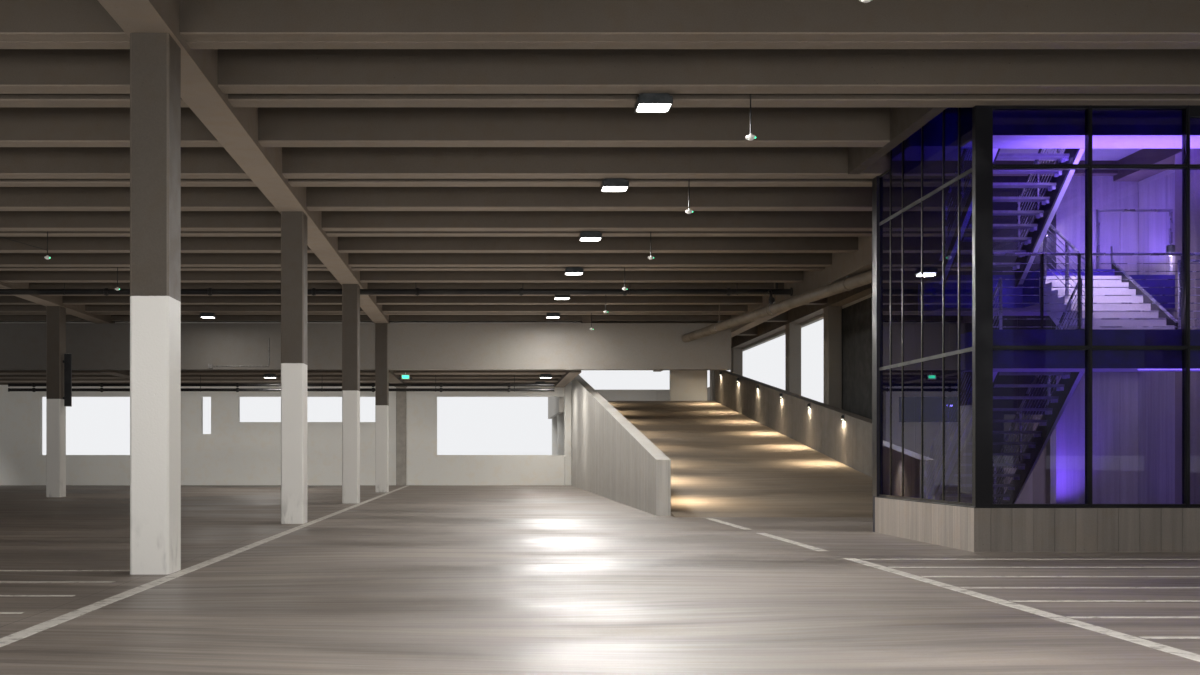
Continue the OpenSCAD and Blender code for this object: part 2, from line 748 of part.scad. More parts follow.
// Line through the nosings of a flight, raised by lift, at place y
function nosing(y, y0, z0, y1, z1, n, lift) =
    z0 + (z1 - z0) / n + abs(y - y0) / abs(y1 - y0) * (z1 - z0) * (n - 1) / n + lift;

// Plate stringer of a flight; one that starts on the floor is cut level there
module stringer(x, y0, z0, y1, z1, n, foot) {
    t0 = nosing(y0, y0, z0, y1, z1, n, nosing_lift);
    t1 = nosing(y1, y0, z0, y1, z1, n, nosing_lift);
    run = y1 - y0;
    cut = (stringer_d - (t0 - z0)) / (t1 - t0) * run;
    lower = foot ? [[y0 + cut, z0], [y0, z0]] : [[y0, t0 - stringer_d]];
    prism_x(x, x + stringer_t, concat([[y0, t0], [y1, t1], [y1, t1 - stringer_d]], lower));
}

module stair_stringers() color(steel_black)
    for (x = [lane_x0, lane_x1 - stringer_t]) {
        stringer(x, lower_foot_y, 0, front_landing_y, front_landing_h, lower_risers, true);
        stringer(x, back_landing_y, back_landing_h, front_landing_y, high_landing_h, upper_risers, false);
    }

// Open treads between the stringers
module treads(y0, z0, y1, z1, n) {
    going = (y1 - y0) / (n - 1);
    for (i = [0:n - 2]) {
        a = y0 + i * going;
        z = z0 + (i + 1) * (z1 - z0) / n;
        box([lane_x0 + stringer_t, lane_x1 - stringer_t], [min(a, a + going), max(a, a + going)],
            [z - tread_t, z]);
    }
}

module stair_treads() color("#55555c") {
    treads(lower_foot_y, 0, front_landing_y, front_landing_h, lower_risers);
    treads(back_landing_y, back_landing_h, front_landing_y, high_landing_h, upper_risers);
}

// Cast flight of n risers from a front landing at z0 up to z1, stepped on top, with its underside ending at low
module cast_flight(z0, z1, n, low) {
    steps = [for (i = [0:n - 2]) for (j = [0, 1])
        [front_landing_y + (i + j) * middle_going, z0 + (i + 1) * (z1 - z0) / n]];
    prism_x(lane_x2, lane_x3, concat([[front_landing_y, z0 - landing_t]], steps,
        [[front_landing_y + (n - 1) * middle_going, low]]));
}

// The cast flights from the front landings to the back landing and to the deck
module stair_middle_flight() color(pale_concrete) {
    cast_flight(front_landing_h, back_landing_h, middle_risers, back_landing_h - landing_t);
    cast_flight(high_landing_h, deck_top, head_risers, deck_top - head_waist);
}

// Handrail along a flight from (y0, z0) to (y1, z1)
module handrail_y(x, y0, z0, y1, z1) {
    run = norm([y1 - y0, z1 - z0]);
    translate([x, y0, slab_t + z0 + rail_h]) rotate([atan2(z1 - z0, y1 - y0) - 90, 0, 0])
        cylinder(h = run, d = rail_tube_d, $fn = 16);
}

// Rail on a stringer: posts cut to its slope and a handrail over them
module stringer_rail(x, y0, z0, y1, z1, n) {
    t0 = nosing(y0, y0, z0, y1, z1, n, nosing_lift);
    t1 = nosing(y1, y0, z0, y1, z1, n, nosing_lift);
    r = rail_post / 2;
    inset = 3 * rail_post * sign(y1 - y0);
    a = y0 + inset;
    b = y1 - inset;
    function top(y) = t0 + (t1 - t0) * (y - y0) / (y1 - y0);
    handrail_y(x, a, top(a), b, top(b));
    for (i = [0:stringer_posts - 1]) {
        y = a + (b - a) * i / (stringer_posts - 1);
        prism_x(x - stringer_t / 2, x + stringer_t / 2, [
            [y - r, top(y - r)], [y + r, top(y + r)],
            [y + r, top(y + r) + rail_h], [y - r, top(y - r) + rail_h]
        ]);
    }
}

// Rail along X on a landing, with a post at each end
module landing_rail(x0, x1, y, z) {
    r = rail_post / 2;
    translate([x0, y, slab_t + z + guard_rail_h]) rotate([0, 90, 0])
        cylinder(h = x1 - x0, d = rail_tube_d, $fn = 16);
    for (x = [x0, x1 - rail_post]) box([x, x + rail_post], [y - r, y + r], [z, z + guard_rail_h]);
}

module stair_railings() color(steel_black) {
    for (x = [lane_x0 + stringer_t / 2, lane_x1 - stringer_t / 2]) {
        stringer_rail(x, lower_foot_y, 0, front_landing_y, front_landing_h, lower_risers);
        stringer_rail(x, back_landing_y, back_landing_h, front_landing_y, high_landing_h, upper_risers);
    }
    rise = (back_landing_h - front_landing_h) / middle_risers;
    x = lane_x2 + rail_post;
    ya = front_landing_y + middle_going / 2;
    yb = middle_top_y - middle_going / 2;
    za = front_landing_h + rise;
    zb = back_landing_h - rise;
    handrail_y(x, ya, za, yb, zb);
    for (i = [0, 1, 2]) {
        y = ya + (yb - ya) * i / 2;
        step = floor((y - front_landing_y) / middle_going + 0.01);
        box([x - rail_post / 2, x + rail_post / 2], [y - rail_post / 2, y + rail_post / 2],
            [front_landing_h + (step + 1) * rise, za + (zb - za) * i / 2 + rail_h]);
    }
    landing_rail(lane_x3 + rail_post, in_right - rail_post, front_landing_y - rail_post, front_landing_h);
    landing_rail(lane_x3 + rail_post, in_right - rail_post, back_landing_y + rail_post, back_landing_h);
    landing_rail(frame_x1 + rail_post, in_right - rail_post, tower_y0 + glass_guard_gap, front_landing_h);
    landing_rail(hole_x0 + rail_post, lane_x2 - rail_post, back_landing_y + rail_post, deck_top);
}

// Hut over the roof opening, with a door at the back, above the one on the ground
module stair_head() color(pale_concrete) difference() {
    box([tower_x0, hole_x1 + head_wall_t], [tower_y0 - head_wall_t, hole_y1 + head_wall_t],
        [deck_top, deck_top + head_h]);
    box([hole_x0, hole_x1], [tower_y0, hole_y1], [deck_top - 1, deck_top + head_h + 1]);
    box([door_x0, door_x0 + door_w], [hole_y1 - 1, hole_y1 + head_wall_t + 1], [deck_top - 1, deck_top + door_h]);
}

module stair_head_roof() color(concrete)
    box([tower_x0 - head_roof_lip, hole_x1 + head_wall_t + head_roof_lip],
        [tower_y0 - head_wall_t - head_roof_lip, hole_y1 + head_wall_t + head_roof_lip],
        [deck_top + head_h, deck_top + head_h + head_roof_t]);

// Places of the luminaires: [x, y, underside of the ribs that carry it]
lamp_places = concat(
    [for (k = [0:step_line - 1]) [line_a + lamp_row, pair_y(k), rib_soffit]],
    [[left_lamp_x, pair_y(step_line - 1), rib_soffit]],
    [for (k = [step_line, step_line + 1]) [line_a + lamp_row, pair_y(k), low_rib_soffit]],
    [[low_left_lamp_x, pair_y(step_line), low_rib_soffit]]
);

// Square plate with cut corners, from height z0 to z1
module cut_square(x, y, w, z0, z1) {
    a = w / 2;
    b = a - lamp_edge;
    translate([x, y, slab_t + z0]) linear_extrude(z1 - z0) polygon([
        [-b, -a], [b, -a], [a, -b], [a, b], [b, a], [-b, a], [-a, b], [-a, -b]
    ]);
}

// A wide tray under a narrower gear box that bridges the two ribs
module luminaires() color(steel_black)
    for (p = lamp_places) {
        cut_square(p[0], p[1], lamp_w, p[2] - lamp_h, p[2] - lamp_h / 3);
        cut_square(p[0], p[1], lamp_w * lamp_gear_share, p[2] - lamp_h / 2, p[2]);
    }

module luminaire_lenses() color("white")
    for (p = lamp_places)
        cut_square(p[0], p[1], lamp_w - 2 * lamp_edge, p[2] - lamp_h - lens_h, p[2] - lamp_h);

// Small downlights under the top of the right ramp wall
module ramp_lights() color(steel_black)
    for (i = [0:ramp_lights_count - 1]) {
        y = ramp_y0 + ramp_light_first + i * ramp_light_pitch;
        z = ramp_z(y) + guard_right_h - ramp_light_drop;
        w = ramp_light_w;
        cut = ramp_light_cut;
        translate([0, y + w[1] / 2, slab_t]) rotate([90, 0, 0]) linear_extrude(w[1]) polygon([
            [ramp_x1, z], [ramp_x1, z - w[2]], [ramp_x1 - w[0] * cut[0], z - w[2]],
            [ramp_x1 - w[0], z - w[2] * cut[1]], [ramp_x1 - w[0] * cut[2], z]
        ]);
    }

// Round sensor at the end of a rod that hangs from the deck between two ribs
module sensor(x, y) {
    r = sensor_d / 2;
    c = sensor_taper;
    translate([x, y, slab_t + deck_soffit - sensor_drop]) rotate_extrude($fn = 24) polygon([
        [0, -sensor_h], [r * c, -sensor_h], [r, -sensor_h * c], [r, 0],
        [rod_d / 2, 0], [rod_d / 2, sensor_drop], [0, sensor_drop]
    ]);
}

module sensors() color("white") {
    for (k = [0:step_line - 1]) sensor(line_a + sensor_row, pair_y(k));
    for (k = [step_line / 2:step_line / 2 + 2]) sensor(left_sensor_x, pair_y(k));
}

// Pipe along X with hanger rods up to a deck
module pipe_x(x0, x1, y, z, d, flange) {
    translate([x0, y, slab_t + z]) rotate([0, 90, 0]) cylinder(h = x1 - x0, d = d, $fn = 32);
    for (x = [x0 - flange, x1]) translate([x, y, slab_t + z]) rotate([0, 90, 0])
        cylinder(h = flange, d = d + 2 * flange, $fn = 32);
}

module hanger(x, y, z, d, top) {
    translate([x - rod_d, y, slab_t + z]) rotate([0, 90, 0]) cylinder(h = 2 * rod_d, d = d + rod_d, $fn = 32);
    translate([x, y, slab_t + z]) cylinder(h = top - z, d = rod_d, $fn = 16);
}

// Places spread evenly over a stretch
function spread(a, b, n) = [for (i = [0:n - 1]) a + (b - a) * (i + 0.5) / n];

module sprinkler_pipes() color(steel_black) {
    main_pipe();
    low_pipes();
}

module main_pipe() {
    z = clear_h - main_drop;
    g = girder_w / 2;
    pipe_x(main_x0, main_x1, main_y, z, main_d, 2 * rod_d);
    for (x = concat(spread(main_x0, line_b - g, 2), spread(line_b + g, line_a - g, 3),
            spread(line_a + g, main_x1, 4)))
        hanger(x, main_y, z, main_d, deck_soffit);
}

module low_pipes() {
    z = low_rib_soffit - low_pipe_gap;
    g = girder_w / 2;
    x0 = low_pipe_x[0];
    x1 = low_pipe_x[1];
    for (dz = [0, low_pipe_drop]) pipe_x(x0, x1, low_pipe_y, z - dz, low_pipe_d, rod_d);
    for (x = concat(spread(x0, line_b - g, 1), spread(line_b + g, line_a - g, 2), spread(line_a + g, x1, 2)))
        for (dz = [0, low_pipe_drop]) hanger(x, low_pipe_y, z - dz, low_pipe_d, low_deck_soffit);
}

// Large drain pipe that slants across the ramp, with couplings and hangers
module drain_pipe() color("#a08a6c") {
    d = drain_end - drain_start;
    run = norm(d);
    turn = atan2(d[0], -d[1]);
    translate([drain_start[0], drain_start[1], slab_t + drain_z]) rotate([90, 0, turn]) {
        cylinder(h = run, d = drain_d, $fn = 40);
        for (s = coupling_shares) translate([0, 0, s * run])
            cylinder(h = coupling_l, d = drain_d + coupling_rim, $fn = 40);
    }
    for (k = [4:7]) {
        y = line_y(k) + drain_hanger_y;
        x = drain_start[0] + (y - drain_start[1]) / d[1] * d[0];
        under = x > drop_left - rod_d && x < drop_right + rod_d;
        translate([x, y, slab_t + drain_z])
            cylinder(h = (under ? drop_soffit : deck_soffit) - drain_z, d = 2 * rod_d, $fn = 16);
    }
}

// Bare upright panel on two brackets beside a column of line B
module blade_panel() color("#1f2024") {
    x = line_b + col_w / 2;
    y = line_y(blade_line) - blade[1] / 2;
    box([x + blade_gap, x + blade_gap + blade[0]], [y, y + blade[1]], [blade_z, blade_z + blade[2]]);
    for (z = [blade_z + blade_inset, blade_z + blade[2] - blade_inset - blade_bracket])
        box([x, x + blade_gap], [y, y + blade[1]], [z, z + blade_bracket]);
}

ground_slab();
columns_line_a();
columns_line_b();
facade_columns();
ramp_piers();
girders();
edge_beams();
drop_beam();
bracket_beams();
trimmer_beams();
transfer_beam();
low_girders();
ribs_left();
ribs_right();
low_ribs();
deck_left();
deck_right();
low_deck();
ramp_slab();
ramp_wall_left();
ramp_wall_right();
landing_beams();
landing_deck();
crash_walls();
side_screen();
roof_panels();
low_panels();
rear_wall_piers();
rear_wall_sills();
rear_wall_heads();
stair_base();
stair_frame_front();
stair_frame_left();
stair_glass();
stair_back_wall();
stair_landings();
stair_stringers();
stair_treads();
stair_middle_flight();
stair_railings();
stair_head();
stair_head_roof();
luminaires();
luminaire_lenses();
ramp_lights();
sensors();
sprinkler_pipes();
drain_pipe();
blade_panel();
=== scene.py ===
"""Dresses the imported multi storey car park: finishes, fittings, studio and camera.

Lengths are metres of the half-size model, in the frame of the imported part: +X across the aisles,
+Y along them towards the rear, and +Z up from the underside of the ground slab.
"""

from __future__ import annotations

import logging
import math
from dataclasses import dataclass
from enum import Enum
from functools import reduce
from typing import Any, Sequence

import bmesh
import bpy
import numpy as np
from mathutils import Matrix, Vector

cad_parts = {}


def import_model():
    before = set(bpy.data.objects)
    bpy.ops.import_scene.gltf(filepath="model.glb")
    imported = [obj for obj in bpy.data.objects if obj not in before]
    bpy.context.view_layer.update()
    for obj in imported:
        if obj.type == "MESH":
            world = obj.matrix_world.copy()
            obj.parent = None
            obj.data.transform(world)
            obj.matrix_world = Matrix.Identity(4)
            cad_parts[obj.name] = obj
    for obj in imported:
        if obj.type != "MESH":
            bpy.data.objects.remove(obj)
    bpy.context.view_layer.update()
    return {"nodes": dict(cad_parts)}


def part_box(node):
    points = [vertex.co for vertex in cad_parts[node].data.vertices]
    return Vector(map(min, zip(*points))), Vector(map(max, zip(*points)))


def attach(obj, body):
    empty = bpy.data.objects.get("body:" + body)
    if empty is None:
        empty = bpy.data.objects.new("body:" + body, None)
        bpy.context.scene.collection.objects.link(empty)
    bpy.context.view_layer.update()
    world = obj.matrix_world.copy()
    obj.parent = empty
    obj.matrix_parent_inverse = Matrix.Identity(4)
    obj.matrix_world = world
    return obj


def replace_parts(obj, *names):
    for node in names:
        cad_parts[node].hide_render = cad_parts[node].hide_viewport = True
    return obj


LOG = logging.getLogger("car_park")
BODY = "root"
Color = tuple[float, float, float]
Place = Sequence[float]
Profile = Sequence[tuple[float, float]]
Socket = bpy.types.NodeSocket
Sockets = tuple[Socket, ...]


@dataclass(frozen=True)
class Grid:
    """Lines and heights of the frame, from which the fittings are set out."""

    half_bay: float = 2.7425
    bays: int = 6
    line_a: float = 1.235
    line_b: float = -3.95
    ramp_x0: float = 5.3
    ramp_x1: float = 8.4
    floor: float = 0.15
    rib_soffit: float = 3.35
    deck_soffit: float = 3.65
    low_rib_soffit: float = 2.45
    step_line: int = 8

    def line_y(self, k: Any) -> Any:
        """Place along Y of the column line k, counted in half bays from the front."""
        return (k - self.bays) * self.half_bay

    def pair_y(self, k: Any) -> Any:
        """Place along Y of the rib pair between the lines k and k + 1."""
        return self.line_y(k + 0.5)


GRID = Grid()


@dataclass(frozen=True)
class Shape:
    """Points of a mesh, and its four-sided faces as rows of point numbers."""

    points: np.ndarray
    faces: np.ndarray


def at(x: Any, y: Any, z: Any) -> np.ndarray:
    """Places from their three coordinates, each a number or an array."""
    return np.stack(np.broadcast_arrays(x, y, z), -1)


def rows(places: Any) -> np.ndarray:
    """One or many places as rows of three numbers."""
    return np.asarray(places, float).reshape(-1, 3)


def circle(sides: int) -> np.ndarray:
    """Angles of points evenly round a circle."""
    return np.linspace(0, 2 * math.pi, sides, endpoint=False)


def quarter(radius: float, count: int) -> tuple[np.ndarray, np.ndarray]:
    """A quarter circle that starts at nought: radius x sin v, and radius x (1 - cos v)."""
    turn = np.linspace(0, math.pi / 2, count)
    return radius * np.sin(turn), radius * (1 - np.cos(turn))


def grids(points: np.ndarray) -> Shape:
    """Surfaces through grids of points, whose rows are closed.

    Args:
        points: Array of rows x columns x 3, or copies x rows x columns x 3.

    Returns:
        One shape: a face joins rows i and i + 1 and columns j and j + 1, and the last column meets the first.
    """
    count, rings, columns = points.reshape((-1,) + points.shape[-3:]).shape[:3]
    start, i, j = np.meshgrid(np.arange(count) * rings * columns, np.arange(rings - 1) * columns,
                              np.arange(columns), indexing="ij")
    low, high, k = start + i, start + i + columns, (j + 1) % columns
    return Shape(rows(points), np.stack([low + j, low + k, high + k, high + j], -1).reshape(-1, 4))


def capped(rings: np.ndarray, middles: np.ndarray) -> Shape:
    """A surface through rings of points, closed at the middle of its first and its last ring."""
    ends = np.repeat(middles[[0, -1], None], rings.shape[1], axis=1)
    return grids(np.concatenate([ends[:1], rings, ends[1:]]))


def boxes(low: Any, high: Any) -> Shape:
    """Boxes from their lowest and highest corners.

    Args:
        low: Lowest corners, one row a box.
        high: Highest corners, in the same order.

    Returns:
        All boxes as one shape: corner = low + (0 or 1) x (high - low) on each axis.
    """
    low, high = rows(low)[:, None], rows(high)[:, None]
    unit = np.array([[x, y, z] for z in (0, 1) for x, y in ((0, 0), (1, 0), (1, 1), (0, 1))])
    sides = np.array([[0, 3, 2, 1], [4, 5, 6, 7], [0, 1, 5, 4], [1, 2, 6, 5], [2, 3, 7, 6], [3, 0, 4, 7]])
    faces = sides + 8 * np.arange(len(low))[:, None, None]
    return Shape(rows(low + unit * (high - low)), faces.reshape(-1, 4))


def centred_boxes(middles: Any, size: Place) -> Shape:
    """Boxes of one size round their middles."""
    half = np.asarray(size, float) / 2
    return boxes(rows(middles) - half, rows(middles) + half)


def ring(along: np.ndarray, sides: int) -> np.ndarray:
    """A circle square to each direction.

    Args:
        along: Directions, the last axis being x, y, z.
        sides: Points on a circle.

    Returns:
        Points cos v n + sin v b on a new axis, n being a level unit vector and b square to n and to the
        direction.
    """
    along = along / np.linalg.norm(along, axis=-1, keepdims=True)
    first = np.cross(along, np.where(np.abs(along[..., 2:]) > 0.9, [1.0, 0.0, 0.0], [0.0, 0.0, 1.0]))
    first /= np.linalg.norm(first, axis=-1, keepdims=True)
    turn = circle(sides)[:, None]
    return np.cos(turn) * first[..., None, :] + np.sin(turn) * np.cross(along, first)[..., None, :]


def tube(path: np.ndarray, radius: float, sides: int) -> Shape:
    """Round tube along a path, closed at both ends: path(u) + radius x ring(u, v)."""
    return capped(path[:, None] + radius * ring(np.gradient(path, axis=0), sides), path)


def rods(starts: Any, ends: Any, radius: float, sides: int = 8) -> Shape:
    """Straight round rods.

    Args:
        starts: One end of each rod.
        ends: The other end of each.
        radius: Radius of all of them.
        sides: Points round a rod.

    Returns:
        The rods as one shape, each with four rings round its axis, of which the outer two are points.
    """
    starts, ends = rows(starts), rows(ends)
    places = np.stack([starts, starts, ends, ends], axis=1)[:, :, None]
    wide = radius * np.array([0.0, 1.0, 1.0, 0.0])[:, None, None]
    return grids(places + wide * ring(ends - starts, sides)[:, None])


def turned(profile: Profile, centres: Any, sides: int, axis: Place | None = None) -> Shape:
    """Copies of a turned form.

    Args:
        profile: Radius and place along the axis of each ring, closed by a radius of nought at both ends.
        centres: Place of each copy.
        sides: Points round the form.
        axis: Direction of the axes, or none where they stand upright.

    Returns:
        The copies as one shape: centre + place(u) x axis + radius(u) x ring(v).
    """
    radius, place = np.asarray(profile, float).T[:, :, None, None]
    turn = circle(sides)
    if axis is None:
        around, along = at(np.cos(turn), np.sin(turn), 0 * turn), np.array([0.0, 0.0, 1.0])
    else:
        around, along = ring(np.asarray(axis, float), sides), np.asarray(axis, float) / np.linalg.norm(axis)
    return grids(rows(centres)[:, None, None] + (place * along + radius * around))


class Graph:
    """Adds nodes to one node tree and links them."""

    def __init__(self, tree: bpy.types.NodeTree) -> None:
        """Keeps the tree that the nodes go into."""
        self.tree = tree

    @classmethod
    def fresh(cls, owner: bpy.types.ID) -> "Graph":
        """An empty graph of a material or a world."""
        owner.use_nodes = True
        owner.node_tree.nodes.clear()
        return cls(owner.node_tree)

    def add(self, kind: str, inputs: dict[Any, Any] | None = None, **settings: Any) -> bpy.types.Node:
        """Adds a node.

        Args:
            kind: Blender's name of the node type, after ShaderNode.
            inputs: Values or sockets, by the name or number of the input.
            **settings: Attributes of the node.

        Returns:
            The node.
        """
        node = self.tree.nodes.new(kind if kind.startswith("Node") else "ShaderNode" + kind)
        for key, value in settings.items():
            setattr(node, key, value)
        for key, value in (inputs or {}).items():
            socket = node.inputs[key]
            if isinstance(value, Socket):
                self.tree.links.new(value, socket)
            else:
                socket.default_value = (*value, 1.0) if socket.type == "RGBA" else value
        return node

    def put(self, effect: type["Effect"], *values: Any) -> Any:
        """Places an effect's group with its own values, and gives its outputs."""
        return self.add("Group", dict(enumerate(values)), node_tree=effect.group()).outputs

    def math(self, operation: str, a: Any, b: Any = 0.0) -> Socket:
        """A difference, quotient or other operation on two values."""
        return self.add("Math", {0: a, 1: b}, operation=operation).outputs[0]

    def times(self, *values: Any) -> Socket:
        """The product of values."""
        return reduce(lambda a, b: self.math("MULTIPLY", a, b), values)

    def minus(self, a: Any, b: Any) -> Socket:
        """The difference of two values."""
        return self.math("SUBTRACT", a, b)

    def mix(self, factor: Any, a: Any, b: Any, blend: str = "MIX") -> Socket:
        """A mix of two colours."""
        return self.add("Mix", {0: factor, 6: a, 7: b}, data_type="RGBA", blend_type=blend).outputs[2]

    def blend(self, factor: Any, a: Any, b: Any) -> Socket:
        """A mix of two values."""
        return self.add("Mix", {0: factor, 2: a, 3: b}, data_type="FLOAT").outputs[0]

    def toned(self, color: Any, tone: Socket) -> Socket:
        """A colour times a value."""
        grey = self.add("CombineColor", {0: tone, 1: tone, 2: tone}).outputs[0]
        return self.mix(1.0, color, grey, "MULTIPLY")

    def ramp(self, value: Any, low: float, high: float, to_low: float = 0.0, to_high: float = 1.0) -> Socket:
        """A value mapped smoothly from one range to another, and held at its ends."""
        inputs = {"Value": value, "From Min": low, "From Max": high, "To Min": to_low, "To Max": to_high}
        return self.add("MapRange", inputs, interpolation_type="SMOOTHSTEP").outputs[0]

    def noise(self, vector: Any, scale: float, detail: float = 3.0, roughness: float = 0.55) -> Socket:
        """Fractal noise between 0 and 1."""
        inputs = {"Vector": vector, "Scale": scale, "Detail": detail, "Roughness": roughness}
        return self.add("TexNoise", inputs).outputs[0]

    def drawn_noise(self, vector: Socket, scale: Place, detail: float, roughness: float) -> Socket:
        """Fractal noise with a scale of its own along each axis."""
        drawn = self.add("Mapping", {"Vector": vector, "Scale": scale}).outputs[0]
        return self.noise(drawn, 1.0, detail, roughness)

    def place(self) -> Socket:
        """The place on the piece, in metres of the frame."""
        return self.add("TexCoord").outputs["Object"]

    def axes(self, vector: Socket) -> Any:
        """The three parts of a vector."""
        return self.add("SeparateXYZ", {0: vector}).outputs

    def normal(self) -> Any:
        """The three parts of the direction that the surface faces."""
        return self.axes(self.add("NewGeometry").outputs["Normal"])

    def facing(self, axis: int, low: float = 0.0, high: float = 1.0) -> Socket:
        """A value that is high where the surface faces along an axis, either way, and low elsewhere."""
        return self.ramp(self.math("ABSOLUTE", self.normal()[axis]), 0.4, 0.6, low, high)

    def from_edge(self, value: Socket) -> Socket:
        """How far the fraction of a value is from a whole number."""
        part = self.math("FRACT", value)
        return self.math("MINIMUM", part, self.minus(1.0, part))

    def bump(self, height: Socket, depth: float, strength: float = 0.6) -> Socket:
        """The normal that a height x depth in metres gives."""
        return self.add("Bump", {"Height": height, "Distance": depth, "Strength": strength}).outputs[0]


class Effect:
    """A shader effect that several finishes share: one node group of its name, built on its first use."""

    inputs: tuple[str, ...]
    outputs: tuple[str, ...]

    @classmethod
    def group(cls) -> bpy.types.NodeTree:
        """The node group. A socket holds a value, unless its name says vector or colour."""
        tree = bpy.data.node_groups.get(cls.__name__)
        if tree is None:
            tree = bpy.data.node_groups.new(cls.__name__, "ShaderNodeTree")
            for side, labels in (("INPUT", cls.inputs), ("OUTPUT", cls.outputs)):
                for label in labels:
                    kind = "NodeSocket" + (label if label in ("Vector", "Color") else "Float")
                    tree.interface.new_socket(name=label, in_out=side, socket_type=kind)
            graph = Graph(tree)
            made = cls.work_out(graph, graph.add("NodeGroupInput").outputs)
            graph.add("NodeGroupOutput", dict(zip(cls.outputs, made)))
        return tree

    @staticmethod
    def work_out(graph: Graph, into: Any) -> Sockets:
        """Adds the nodes of the effect.

        Args:
            graph: The group's graph.
            into: The sockets that bring its inputs, by name.

        Returns:
            The sockets of its outputs, in their order.
        """
        raise NotImplementedError


class CastGrain(Effect):
    """Clouds, mottling, fine grain and small air holes of cast concrete."""

    inputs = ("Vector", "Color", "Cloud", "Grain", "Holes")
    outputs = ("Color", "Height", "Wear")

    @staticmethod
    def work_out(graph: Graph, into: Any) -> Sockets:
        """Tone = 1 + each noise about its middle x its amount - holes, and the mottling warms the colour."""
        place, cloud = into["Vector"], into["Cloud"]
        mottle, fine = graph.noise(place, 6.0, 2.0, 0.6), graph.noise(place, 110.0, 0.0)
        cell = graph.add("TexVoronoi", {"Vector": place, "Scale": 16.0}).outputs[0]
        near = graph.ramp(cell, 0.03, 0.075, 1.0, 0.0)
        rare = graph.math("GREATER_THAN", graph.noise(place, 2.3, 0.0), 0.53)
        holes = graph.times(near, rare, into["Holes"])
        tone: Any = 1.0
        for noise, amount in ((graph.noise(place, 0.9, 3.0, 0.6), cloud), (mottle, graph.times(cloud, 0.6)),
                              (fine, into["Grain"])):
            tone = graph.math("ADD", tone, graph.times(graph.minus(noise, 0.5), amount))
        color = graph.toned(into["Color"], graph.minus(tone, graph.times(holes, 0.45)))
        warm = graph.mix(graph.ramp(mottle, 0.45, 0.75, 0.0, 0.35), color, (0.95, 0.86, 0.74), "MULTIPLY")
        return warm, graph.minus(graph.times(fine, 0.3), holes), mottle


class BoardMarks(Effect):
    """Upright form boards: a tone for each board, a shallow groove between two, and drawn-out grain."""

    inputs = ("Vector", "Width", "Seam")
    outputs = ("Tone", "Groove", "Streak")

    @staticmethod
    def work_out(graph: Graph, into: Any) -> Sockets:
        """Boards are counted along X + Y, so they stand on walls along either axis."""
        x, y, _ = graph.axes(into["Vector"])
        along = graph.math("DIVIDE", graph.math("ADD", x, y), into["Width"])
        edge = graph.math("DIVIDE", graph.times(graph.from_edge(along), into["Width"]), into["Seam"])
        board = graph.math("FLOOR", along)
        tone = graph.add("TexWhiteNoise", {"W": board}, noise_dimensions="1D").outputs["Value"]
        streak = graph.drawn_noise(into["Vector"], (22.0, 22.0, 0.9), 2.0, 0.6)
        return tone, graph.ramp(edge, 0.3, 1.0, 1.0, 0.0), streak


class FloorStreaks(Effect):
    """Marks that a power float and tyres leave, drawn out along X, with polished patches."""

    inputs = ("Vector", "Fineness")
    outputs = ("Streak", "Patch", "Scratch")

    @staticmethod
    def work_out(graph: Graph, into: Any) -> Sockets:
        """Three noises on the place, which a slow noise has bent along Y."""
        scaled = {0: into["Vector"], "Scale": into["Fineness"]}
        fine = graph.add("VectorMath", scaled, operation="SCALE").outputs[0]
        bend = graph.add("CombineXYZ", {1: graph.times(graph.noise(fine, 0.35, 0.0), 0.9)}).outputs[0]
        bent = graph.add("VectorMath", {0: fine, 1: bend}, operation="ADD").outputs[0]
        kinds = ((0.42, 6.0, 4.0, 0.68), (0.35, 0.8, 2.0, 0.6), (1.5, 26.0, 1.0, 0.55))
        return tuple(graph.drawn_noise(bent, (x, y, 1.0), detail, rough) for x, y, detail, rough in kinds)


class HeightCoat(Effect):
    """Mask of a paint coat that ends at a level, with a slightly ragged edge, and its dirt near the floor."""

    inputs = ("Vector", "Level", "Ragged")
    outputs = ("Mask", "Scuff")

    @staticmethod
    def work_out(graph: Graph, into: Any) -> Sockets:
        """The coat is where z + noise x raggedness is below the level."""
        place = into["Vector"]
        z = graph.axes(place)[2]
        stray = graph.times(graph.minus(graph.noise(place, 25.0, 0.0), 0.5), into["Ragged"])
        over = graph.minus(graph.math("ADD", z, stray), into["Level"])
        dirt = graph.ramp(graph.drawn_noise(place, (9.0, 9.0, 3.0), 3.0, 0.65), 0.5, 0.72)
        scuff = graph.times(graph.ramp(z, 0.15, 0.55, 1.0, 0.0), dirt)
        return graph.ramp(over, -0.0015, 0.0015, 1.0, 0.0), scuff


class HandlingWear(Effect):
    """Dust and rubbed patches on coated metal."""

    inputs = ("Vector", "Scale")
    outputs = ("Rub", "Height")

    @staticmethod
    def work_out(graph: Graph, into: Any) -> Sockets:
        """A broad noise for the rubbing, and a fine one for the height."""
        broad = graph.noise(into["Vector"], into["Scale"], roughness=0.5)
        return graph.ramp(broad, 0.42, 0.7), graph.noise(into["Vector"], 400.0, 0.0)


@dataclass(frozen=True)
class Finish:
    """One finish of the building. Each kind of finish works out its shader's inputs from its own values."""

    color: Color
    roughness: float = 0.6

    def inputs(self, graph: Graph) -> dict[str, Any]:
        """Adds the nodes of the finish, which here is even all over.

        Args:
            graph: The material's graph.

        Returns:
            The value or the socket for each input of the shader.
        """
        return {"Base Color": self.color, "Roughness": self.roughness}


@dataclass(frozen=True)
class Zone:
    """A stretch of a piece along an axis, with another colour: a paint, bare concrete, or a painted shade."""

    axis: int
    low: float
    high: float
    color: Color


